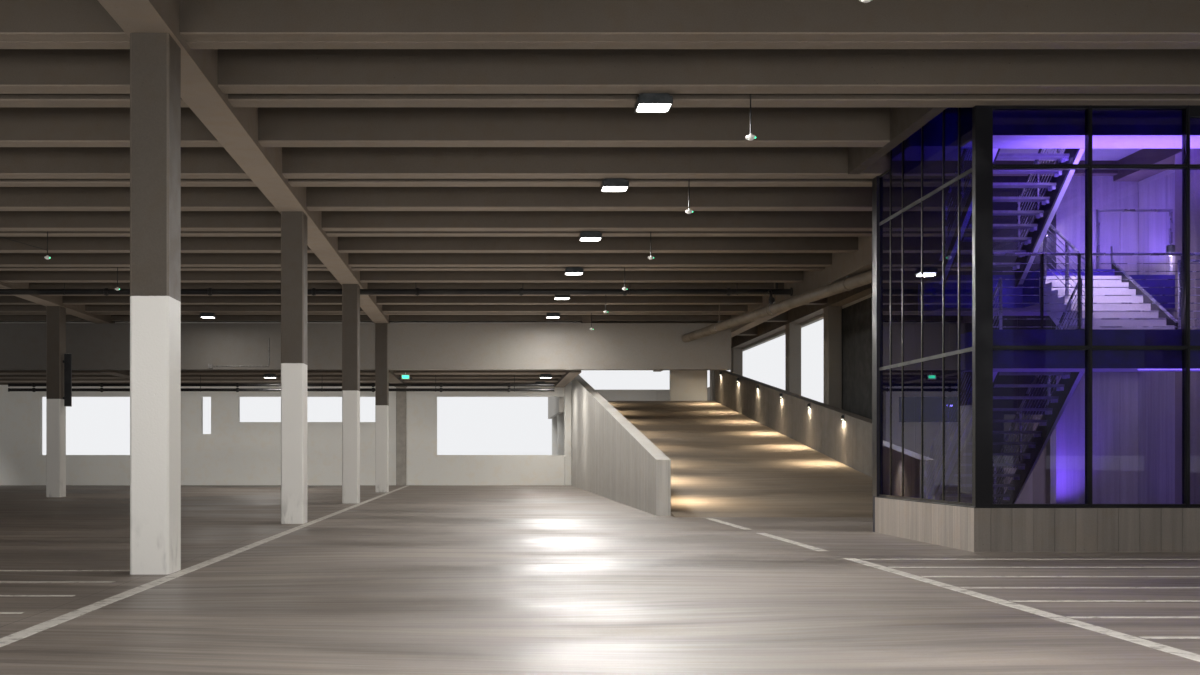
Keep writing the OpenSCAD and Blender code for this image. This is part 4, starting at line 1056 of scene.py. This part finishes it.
@dataclass
class Pipework:
    """Couplings, hangers and conduit on the sprinkler main, the low pipes and the drain."""

    main_y: float = 0.25
    main_z: float = 3.238
    main_r: float = 0.0425
    main_x: tuple[float, float] = (-7.538, 7.65)
    main_first: float = 0.6
    main_pitch: float = 1.52
    bolts: Profile = ((-0.012, -0.062), (0.012, 0.062))
    bolt_r: float = 0.006
    bolt_reach: float = 0.028
    valve_back: float = 0.32
    valve_offset: Place = (0.0, -0.15, -0.2)
    elbow: float = 0.1
    low_first: float = 0.5
    low_pitch: float = 1.37
    low_y: float = 7.361
    low_z: tuple[float, float] = (2.26, 2.16)
    low_r: float = 0.03
    low_x: tuple[float, float] = (-6.446, 4.547)
    drain_start: tuple[float, float] = (6.9, 5.34)
    drain_end: tuple[float, float] = (8.34, -6.891)
    drain_z: float = 3.0175
    drain_r: float = 0.0775
    column_gap: float = 0.2
    wheel: Profile = ((0, 0.0), (0.03, 0.0), (0.045, 0.006), (0.03, 0.012), (0, 0.012))
    valve: Profile = (
        (0, -0.05), (0.03, -0.05), (0.034, -0.03), (0.027, 0.0), (0.034, 0.03), (0.03, 0.05), (0, 0.05),
    )

    def free_places(self, first: float, last: float, pitch: float) -> np.ndarray:
        """Places along X at an even pitch, apart from those at a column."""
        x = np.arange(first, last, pitch)
        return x[(np.abs(x - GRID.line_a) > self.column_gap) & (np.abs(x - GRID.line_b) > self.column_gap)]

    @staticmethod
    def couplings(r: float, places: np.ndarray, sides: int) -> Shape:
        """Grooved couplings round a pipe of radius r along X: two lips and a raised middle."""
        half = [(0, -0.03), (r + 0.005, -0.03), (r + 0.012, -0.024), (r + 0.012, -0.012), (r + 0.017, -0.008)]
        return turned(half + [(wide, -place) for wide, place in half[::-1]], places, sides, (1, 0, 0))

    def make(self) -> None:
        """Builds the fittings of all pipes."""
        self.main_fittings()
        x = self.free_places(self.low_x[0] + self.low_first, self.low_x[1], self.low_pitch)
        low = at(x, self.low_y, np.array(self.low_z)[:, None])
        build("low_pipe_couplings", Look.BLACK_PIPE, self.couplings(self.low_r, low, 20))
        self.drain_fittings()
        self.conduits()

    def main_fittings(self) -> None:
        """Couplings with bolts on the main, and the riser with its valve at the right end."""
        x = self.free_places(self.main_x[0] + self.main_first, self.main_x[1], self.main_pitch)
        places, reach = at(x, self.main_y, self.main_z), self.bolt_reach
        bolts = [rods(places + [x, y, -reach], places + [x, y, reach], self.bolt_r) for x, y in self.bolts]
        build("main_couplings", Look.BLACK_PIPE, self.couplings(self.main_r, places, 28), *bolts)
        end = np.array([self.main_x[1] - self.valve_back, self.main_y, self.main_z])
        foot = end + self.valve_offset
        back, down = quarter(self.elbow, 10)
        branch = tube(np.concatenate([[end], end + [0, -0.05, 0] + at(0, -back, -down), [foot]]), 0.022, 14)
        wheel = turned(self.wheel, foot + [0, -0.035, 0.06], 18, (0, -1, 0))
        body = turned(self.valve, foot + [0, 0, 0.06], 18)
        stub = tube(end + at(0.12, 0, [0, 0.16, 0.3]), 0.014, 10)
        build("main_drain_valve", Look.BLACK_PIPE, branch, wheel, body, stub)

    def drain_fittings(self) -> None:
        """Bands round the drain pipe at its hangers, with their nuts."""
        a, b = np.array(self.drain_start), np.array(self.drain_end)
        y = GRID.line_y(np.arange(4, 8)) + 0.5
        places = at(a[0] + (y - a[1]) / (b[1] - a[1]) * (b[0] - a[0]), y, self.drain_z)
        r = self.drain_r
        band = [(0, -0.014), (r + 0.004, -0.014), (r + 0.006, -0.01),
                (r + 0.006, 0.01), (r + 0.004, 0.014), (0, 0.014)]
        nut = [(0, r + 0.004), (0.022, r + 0.004), (0.022, r + 0.024), (0.014, r + 0.03), (0, r + 0.03)]
        bands = turned(band, places, 36, (*(b - a), 0.0))
        build("drain_hanger_bands", Look.ZINC, bands, turned(nut, places, 6), slot="drain_metal")

    def conduits(self) -> None:
        """Thin conduit on the transfer beam's face, with its box, and the brace of a left sensor's rod."""
        face = GRID.line_y(GRID.step_line) - 0.125 - 0.009
        left, right, low, high = -1.92, -0.86, 2.5, 3.02
        along, up = quarter(0.04, 7)
        bend = at(right - 0.04 + along, face, low + up)
        path = np.concatenate([[[left, face, low]], bend, [[right, face, high]]])
        clips = at([-1.8, -1.4, -1.0, right, right], face + 0.002, [low, low, low, 2.65, 2.9])
        box = centred_boxes((left - 0.03, face - 0.012, low), (0.08, 0.04, 0.08))
        build("beam_conduit", Look.ZINC, tube(path, 0.008, 8), centred_boxes(clips, (0.02, 0.014, 0.03)), box)
        y, top = GRID.pair_y(4), GRID.deck_soffit
        brace = rods((-3.3, y + 0.1, top - 0.05), (-1.75, y, top - 0.5), 0.004)
        build("sensor_brace", Look.BLACK_PIPE, brace)


@dataclass(frozen=True)
class Flight:
    """A straight flight, from the front edge of its foot to its head."""

    y0: float
    z0: float
    y1: float
    z1: float
    risers: int

    def step(self) -> float:
        """Height of a riser."""
        return (self.z1 - self.z0) / self.risers

    def going(self) -> float:
        """Depth of a tread along Y, with its sign."""
        return (self.y1 - self.y0) / (self.risers - 1)

    def nosing(self, y: Any) -> Any:
        """Height of the line through the nosings at places along Y."""
        return self.z0 + self.step() + (y - self.y0) / (self.y1 - self.y0) * (self.z1 - self.z0 - self.step())

    def treads(self) -> tuple[np.ndarray, np.ndarray]:
        """Front edge of each tread, along Y and Z."""
        i = np.arange(self.risers - 1)
        return self.y0 + i * (self.y1 - self.y0) / (self.risers - 1), self.z0 + (i + 1) * self.step()

    def bar(self, x: float, wide: float, thick: float, trim: tuple[float, float], lift: float,
            low: float = 0.0) -> tuple[Shape, np.ndarray, np.ndarray]:
        """Flat bar that follows the nosings.

        Args:
            x: Place of its upper edge.
            wide: Its reach along X from there.
            thick: Its thickness, downwards.
            trim: How far its ends are moved along Y.
            lift: Height above the nosings.
            low: Height that its foot doesn't go below.

        Returns:
            The bar, and the ends of its upper edge.
        """
        y = np.array([self.y0, self.y1]) + trim
        z = self.nosing(y) + lift
        ends = at(x, y, [max(z[0], low), z[1]])
        rings = ends[:, None] + at([0, wide, wide, 0], 0, [0, 0, -thick, -thick])
        return capped(rings, rings.mean(1)), ends[0], ends[1]


@dataclass
class StairTower:
    """The glazed stair: railing rods, treads, stringer flanges, glazing caps and lamps."""

    lane_left: tuple[float, float] = (7.08, 7.7)
    lane_right: tuple[float, float] = (7.75, 8.37)
    front_y: float = -9.384
    glass_front: float = -9.324
    frame_x: float = 6.7
    back_y: float = -7.051
    inner_right: float = 9.03
    cap_right: float = 9.04
    lower: Flight = Flight(-7.161, 0.15, -8.924, 1.75, 18)
    upper: Flight = Flight(-7.671, 2.375, -8.924, 3.43, 12)
    middle: Flight = Flight(-8.924, 1.75, -8.004, 2.375, 9)
    stringer_d: float = 0.21
    flange_painted_highlight: float = 0.038
    lift: float = 0.015
    rail: float = 0.465
    rods_up: int = 9
    rod_r: float = 0.003
    rod_inset: float = 0.06
    rib: Place = (0.006, 0.012, 0.0025)
    bracket: Place = (0.03, 0.03, 0.028)
    bracket_drop: float = 0.034
    violet_x: tuple[float, float] = (7.9, 9.0)
    guard_gap: float = 0.045
    guard_foot: Place = (0.05, 0.06, 0.008)
    guard_rods: tuple[float, float] = (0.0226, 0.482)
    guard_left: float = 6.79
    guard_posts: tuple[float, ...] = (7.22, 7.49, 8.24)
    guard_h: float = 0.55
    glass_z: tuple[float, float] = (0.47, 3.35)
    sill: float = 0.468
    mullions: tuple[float, ...] = (7.525, 8.225, 8.925)
    transoms: tuple[float, ...] = (1.615, 2.915)
    lamp: Profile = ((0, 0.05), (0.03, 0.048), (0.036, 0.04), (0.036, -0.02), (0.03, -0.026), (0, -0.026))
    lens: Profile = ((0, -0.027), (0.026, -0.027), (0.024, -0.036), (0.012, -0.042), (0, -0.043))

    def make(self) -> None:
        """Builds every fitting of the stair."""
        self.railing()
        self.tread_details()
        self.flanges_and_edge()
        self.glazing_caps()
        build("stair_wall_lamps", Look.HOUSING, turned(self.lamp, self.lamp_places(), 20))
        build("stair_lamp_lenses", Look.LENS, turned(self.lens, self.lamp_places(), 20), slot="lens")
        tubes = rods(*at(self.violet_x, self.glass_front + 0.014, self.middle.z0 - 0.28 - 0.008), 0.004, 12)
        build("violet_tubes", Look.VIOLET, tubes, slot="lens")

    def railing(self) -> None:
        """Rods along the sides of the open flights and beside the cast one, and the front glass's guard."""
        up = self.rail * np.arange(1, self.rods_up) / self.rods_up + self.lift
        left, right = self.lane_left[0] + 0.008, self.lane_left[1] - 0.008
        sides = [(flight, x) for flight in (self.lower, self.upper) for x in (left, right)]
        ends = []
        for flight, x in (*sides, (self.middle, self.lane_right[0] + 0.02)):
            inset = self.rod_inset * np.sign(flight.going())
            y = np.array([[flight.y0 + inset], [flight.y1 - inset]])
            ends.append(at(x, y, flight.nosing(y) + up))
        build("stair_rail_rods", Look.RAIL, rods(*np.concatenate(ends, axis=1), self.rod_r, 6))
        y, z = self.glass_front + self.guard_gap, self.middle.z0
        starts = at(self.guard_left, y, z + np.linspace(*self.guard_rods, self.rods_up))
        guard = rods(starts, starts + [self.inner_right - self.guard_left, 0, 0], self.rod_r, 6)
        build("front_guard_rods", Look.RAIL, guard)
        posts = at(self.guard_posts, y, z + self.guard_h / 2)
        feet = centred_boxes(posts - [0, 0, (self.guard_h - self.guard_foot[2]) / 2], self.guard_foot)
        bars = centred_boxes(posts, (0.012, 0.03, self.guard_h))
        build("front_guard_posts", Look.STEEL, bars, feet, bevel=0.0015)

    def tread_details(self) -> None:
        """Three ribs on each tread's nosing, and the brackets that carry the treads beside both stringers."""
        x0, x1 = self.lane_left[0] + 0.02, self.lane_left[1] - 0.02
        wide, pitch, thick = self.rib
        ribs, brackets = [], []
        for flight in (self.lower, self.upper):
            y, z = flight.treads()
            rib = y + np.sign(flight.going()) * (wide + pitch * np.arange(3)[:, None])
            ribs.append(boxes(at(x0, rib - wide / 2, z), at(x1, rib + wide / 2, z + thick)))
            x = np.array([x0 + 0.006, x1 - 0.006])[:, None, None]
            places = at(x, y + np.array([[0.25], [0.75]]) * flight.going(), z - self.bracket_drop)
            brackets.append(centred_boxes(places, self.bracket))
        build("tread_nosings", Look.STEEL, *ribs, slot="tread_steel")
        build("tread_brackets", Look.FLANGE_PAINTED_HIGHLIGHT, *brackets, bevel=0.002)

    def flanges_and_edge(self) -> None:
        """Flanges that make channels of the stringers, and the cast flight's plate with its bright bar."""
        flanges = []
        for flight, foot in ((self.lower, 0.0), (self.upper, 0.2)):
            trim = 0.03 * np.sign(flight.going())
            for x, side in zip(self.lane_left, (-1, 1)):
                for drop in (0.0, self.stringer_d - 0.01):
                    flanges.append(flight.bar(x, side * self.flange_painted_highlight, 0.01, (trim, -trim), self.lift - drop,
                                              flight.z0 - foot)[0])
        build("stringer_flanges", Look.FLANGE_PAINTED_HIGHLIGHT, *flanges)
        plate, a, b = self.middle.bar(self.lane_right[1] + 0.002, 0.012, 0.12, (-0.02, 0.06), 0.03)
        build("cast_flight_plate", Look.STEEL, plate)
        bar = rods(a + [0.006, 0, 0.006], b + [0.006, 0, 0.006], 0.011, 12)
        post = centred_boxes(b + [0.006, 0, 0.06], (0.014, 0.02, 0.14))
        build("cast_flight_bar", Look.RAIL, bar, post)

    def glazing_caps(self) -> None:
        """Pressure caps on the outside of the front mullions, and the flashing under and behind the glass."""
        (z0, z1), y, x, half, right = self.glass_z, self.front_y - 0.003, self.frame_x, 0.006, self.cap_right
        low, high = self.sill - 0.003, self.sill + 0.003
        caps = [((m - half, y - 0.005, z0), (m + half, y + 0.005, z1)) for m in self.mullions]
        caps += [((x + 0.13, y - 0.005, z - half), (right, y + 0.005, z + half)) for z in self.transoms]
        caps += [
            ((x - 0.012, self.front_y - 0.014, low), (right, self.front_y + 0.004, high)),
            ((x - 0.012, self.front_y, low), (x + 0.02, self.back_y, high)),
            ((x - 0.004, self.back_y - 0.012, self.sill + 0.006), (x - 0.0005, self.back_y + 0.124, z1)),
        ]
        build("glazing_caps", Look.MULLION, boxes(*zip(*caps)), bevel=0.0015)

    def lamp_places(self) -> np.ndarray:
        """Place of each wall lamp of the stair, at the middle of its housing."""
        return np.array([[8.19, -7.09, 2.84], [9.01, -7.665, 2.58], [7.35, -7.09, 1.32]])


@dataclass
class WallFittings:
    """Small things on walls and columns: the bare exit sign and its lamps, and the blade panel's rim."""

    sign: tuple[float, float, float] = (1.62, 6.35, 2.36)
    cup: Profile = ((0, 0), (0.022, 0.0), (0.026, 0.03), (0, 0.03))

    def make(self) -> None:
        """Builds the sign, its lamps and the blade's rim."""
        place = np.array(self.sign)
        case = centred_boxes(place, (0.16, 0.025, 0.09))
        stem = rods(place + [0, 0, 0.045], place + [0, 0, 0.085], 0.008)
        build("exit_sign_case", Look.SENSOR, case, stem, slot="white_plastic", bevel=0.003)
        face = centred_boxes(place + [0, -0.014, 0.0], (0.125, 0.004, 0.055))
        build("exit_sign_face", Look.GREEN, face, slot="lens", bevel=0.001)
        heads = turned(self.cup, place + [[-0.11, -0.01, -0.02], [0.11, -0.01, -0.02]], 16, (0, -1, -0.4))
        build("emergency_lamp_heads", Look.HOUSING, heads)
        low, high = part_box("blade_panel")
        rim = [boxes((low[0] + 0.022, low[1] - 0.003, z - 0.006), (high[0], high[1] + 0.003, z + 0.006))
               for z in (low[2] + 0.006, high[2] - 0.006)]
        build("blade_caps", Look.ZINC, *rim, slot="blade_metal", bevel=0.001)


@dataclass
class RoofTrim:
    """Copings on the parapets, as folded caps."""

    lip: float = 0.006
    half_x: float = 9.15
    half_y: float = 16.7075
    wall: float = 0.1
    wing_x: float = 4.875
    step_y: float = 5.6375
    low_end_y: float = 11.1225
    high_z: float = 4.3
    low_z: float = 3.4

    def make(self) -> None:
        """Builds the copings along each parapet."""
        x, y, w, step, wing = self.half_x, self.half_y, self.wall, self.step_y, self.wing_x
        main, high, low = self.low_end_y, self.high_z, self.low_z
        low_corners, high_corners = map(np.array, zip(
            ((-x, -y, high), (x, w - y, high)), ((-x, w - y, high), (w - x, step, high)),
            ((x - w, w - y, high), (x, y - w, high)), ((wing, y - w, high), (x, y, high)),
            ((wing, step + w, high), (wing + w, y - w, high)),
            ((w - x, step, high), (wing + w, step + w, high)),
            ((-x, step + 0.01, low), (w - x, main, low)), ((-x, main, low), (wing - 0.015, main + w, low)),
        ))
        lip = self.lip
        copings = boxes(low_corners + [lip, lip, 0], high_corners + [-lip, -lip, lip])
        build("parapet_copings", Look.COPING, copings, bevel=0.002)


WHITE: Color = (1.0, 1.0, 1.0)
SOFT_WHITE: Color = (1.0, 0.97, 0.93)
WARM: Color = (1.0, 0.93, 0.85)
AMBER: Color = (1.0, 0.86, 0.66)
VIOLET: Color = (0.3, 0.16, 1.0)
CLEAR = ("camera", "transmission")
HIDDEN = (*CLEAR, "glossy")
DOWN, UP = (0, 0, 0), (180, 0, 0)


def hang(name: str, kind: str, place: Place, turn: Place, hidden: Sequence[str], **settings: Any) -> None:
    """Adds a lamp.

    Args:
        name: Its name.
        kind: Blender's kind of light.
        place: Its middle.
        turn: Its rotation in degrees; unturned, it shines down.
        hidden: The kinds of rays that don't meet it.
        **settings: Attributes of the light.
    """
    light = bpy.data.lights.new(name, kind)
    for key, value in settings.items():
        setattr(light, key, value)
    lamp = add_object(name, light)
    lamp.location, lamp.rotation_euler = place, [math.radians(t) for t in turn]
    for rays in hidden:
        setattr(lamp, f"visible_{rays}", False)


@dataclass(frozen=True)
class Panel:
    """A soft panel of light, with its turn and its spread in degrees and its power in watts."""

    name: str
    place: Place
    turn: Place
    size: tuple[float, float]
    power: float
    color: Color = WHITE
    spread: float = 180.0
    hidden: Sequence[str] = HIDDEN

    def hang(self) -> None:
        """Adds the panel to the scene."""
        hang(self.name, "AREA", self.place, self.turn, self.hidden, shape="RECTANGLE", size=self.size[0],
             size_y=self.size[1], energy=self.power, color=self.color, spread=math.radians(self.spread))


@dataclass
class Studio:
    """Pale floor and surroundings, soft daylight, and the lamps of the hall."""

    lighting: HallLighting
    ramp: RampFittings
    stair: StairTower
    low_power: float = 30.4
    row_power: float = 44.8
    left_power: float = 20.8
    shine: float = 75.0
    daylight: float = 0.36
    seen_sky: float = 0.93
    mirrored_sky: float = 0.16
    rings: tuple[float, ...] = (0.5, 5.0, 40.0, 250.0, 1500.0)
    panels: tuple[Panel, ...] = (
        Panel("violet_ceiling_front", (8.1, -9.05, 2.75), UP, (1.8, 0.3), 32.0, (0.37, 0.22, 1.0)),
        Panel("violet_treads_high", (7.39, -8.75, 2.15), UP, (0.5, 0.4), 4.0, VIOLET),
        Panel("violet_ceiling_rear", (8.5, -7.4, 2.5), UP, (0.9, 0.3), 8.0, VIOLET),
        Panel("violet_landing", (7.9, -9.1, 1.0), UP, (2.0, 0.2), 3.4, VIOLET),
        Panel("violet_corner", (8.3, -7.3, 0.3), (160, 0, 0), (0.3, 0.1), 3.3, VIOLET, 80.0),
        Panel("violet_shaft_high", (8.7, -8.3, 3.3), DOWN, (0.5, 1.0), 3.6, VIOLET),
        Panel("white_shaft_high", (8.0, -8.8, 3.1), (20, 0, 0), (0.8, 0.2), 18.0, (1.0, 0.95, 0.88), 100.0),
        Panel("aisle_upward_light", (3.3, -0.5, 0.3), UP, (3.4, 17.0), 95.0, WARM, 120.0),
        Panel("middle_upward_light", (-1.4, -4.5, 0.3), UP, (3.8, 15.0), 60.0, WARM, 110.0),
        Panel("left_upward_light", (-6.5, -5.0, 0.3), UP, (3.8, 16.0), 45.0, WARM, 110.0),
        Panel("front_soft_light", (1.0, -19.2, 1.45), (92, 0, 0), (15.0, 1.0), 105.0, SOFT_WHITE, 60.0),
        Panel("rear_soft_light", (-1.8, 7.0, 0.8), (94, 0, 0), (9.0, 0.8), 36.0, SOFT_WHITE, 120.0),
        Panel("landing_light", (6.8, 13.8, 3.0), DOWN, (2.5, 4.0), 40.0),
    )

    def world(self) -> None:
        """A pale world, seen as such by the camera and through glass, and softer as light and in mirrors."""
        world = bpy.data.worlds.new("pale_surroundings")
        bpy.context.scene.world = world
        graph = Graph.fresh(world)
        rays = graph.add("LightPath").outputs
        seen = graph.math("MAXIMUM", rays["Is Camera Ray"], rays["Is Transmission Ray"])
        sky = graph.blend(seen, self.daylight, self.seen_sky)
        strength = graph.blend(rays["Is Glossy Ray"], sky, self.mirrored_sky)
        back = graph.add("Background", {"Color": (0.93, 0.94, 0.96), "Strength": strength})
        graph.add("OutputWorld", {"Surface": back.outputs[0]})

    def ground(self) -> None:
        """A wide, round, pale floor at the foot of the building: growing rings about the Z axis."""
        rings, turn = np.array(self.rings)[:, None], 2 * math.pi - circle(144)
        shape = grids(at(rings * np.cos(turn), rings * np.sin(turn), 0.0))
        mesh = bpy.data.meshes.new("studio_floor")
        mesh.from_pydata(shape.points.tolist(), [], shape.faces.tolist())
        mesh.materials.append(Look.STUDIO_FLOOR.material())
        add_object("studio_floor", mesh)

    def lamps(self) -> None:
        """Light under each luminaire and each lamp of the ramp and the stair."""
        for i, top in enumerate(self.lighting.places()):
            place, size = top - [0, 0, self.lighting.height + 0.03], (0.2, 0.2)
            low, row = top[2] < 3, top[0] > 0
            power = self.low_power if low else self.row_power if row else self.left_power
            Panel(f"hall_lamp_{i:02d}", place, DOWN, size, power, (1.0, 0.96, 0.9), hidden=CLEAR).hang()
            if row and not low:
                Panel(f"hall_shine_{i:02d}", place, DOWN, size, self.shine, hidden=(*CLEAR, "diffuse")).hang()
        for i, place in enumerate(self.ramp.lamp_places()):
            Panel(f"ramp_lamp_{i:02d}", place - [0.03, 0, 0.02], (0, 12, 0), (0.05, 0.05), 9.0, AMBER).hang()
            pool = place - [0.1, 0, 0.02]
            Panel(f"ramp_pool_{i:02d}", pool, (0, 24, 0), (0.05, 0.12), 6.0, AMBER, 80.0).hang()
        for i, place in enumerate(self.ramp.left_lamp_places()):
            Panel(f"ramp_glow_{i:02d}", place, (0, -24, 0), (0.05, 0.12), 8.0, AMBER, 90.0).hang()
        for i, place in enumerate(self.stair.lamp_places()):
            hang(f"stair_lamp_{i}", "POINT", place - [0.03, 0.03, 0.07], DOWN, HIDDEN,
                 energy=5.0 if place[2] > 2 else 0.25, color=(1.0, 0.93, 0.86), shadow_soft_size=0.03)

    def make(self) -> None:
        """Builds the studio: its world and floor, soft daylight, the building's lamps and the soft panels."""
        self.world()
        self.ground()
        hang("soft_sun", "SUN", (0, 0, 0), (48, 0, -28), (), energy=1.6, angle=math.radians(25))
        self.lamps()
        for panel in self.panels:
            panel.hang()


@dataclass
class PhotoCamera:
    """Camera at the photograph's place: level, looking along the aisles, with a shifted frame."""

    place: tuple[float, float, float] = (3.2, -18.6, 0.845)
    sensor: float = 36.0
    image_width: float = 1200.0
    image_height: float = 675.0
    focal_pixels: float = 1286.0
    vanishing_u: float = 487.0
    vanishing_v: float = 455.0
    far: float = 4000.0

    def make(self) -> None:
        """Adds the camera and makes it the scene's own."""
        data = bpy.data.cameras.new("photo_camera")
        data.sensor_width, data.clip_end = self.sensor, self.far
        data.lens = self.sensor * self.focal_pixels / self.image_width
        data.shift_x = (self.image_width / 2 - self.vanishing_u) / self.image_width
        data.shift_y = (self.vanishing_v - self.image_height / 2) / self.image_width
        camera = add_object("photo_camera", data)
        camera.location, camera.rotation_euler = self.place, (math.radians(90), 0, 0)
        bpy.context.scene.camera = camera


def main() -> None:
    """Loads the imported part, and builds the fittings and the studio."""
    logging.basicConfig(level=logging.INFO, format="%(message)s")
    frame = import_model()
    bpy.context.scene.view_settings.view_transform = "Standard"
    lighting, ramp, stair = HallLighting(), RampFittings(), StairTower()
    for part in (PhotoCamera(), Structure(frame["nodes"]), FloorMarkings(), lighting, Sensors(), ramp,
                 Pipework(), stair, WallFittings(), RoofTrim(), Studio(lighting, ramp, stair)):
        part.make()
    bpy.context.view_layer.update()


if __name__ == "__main__":
    main()
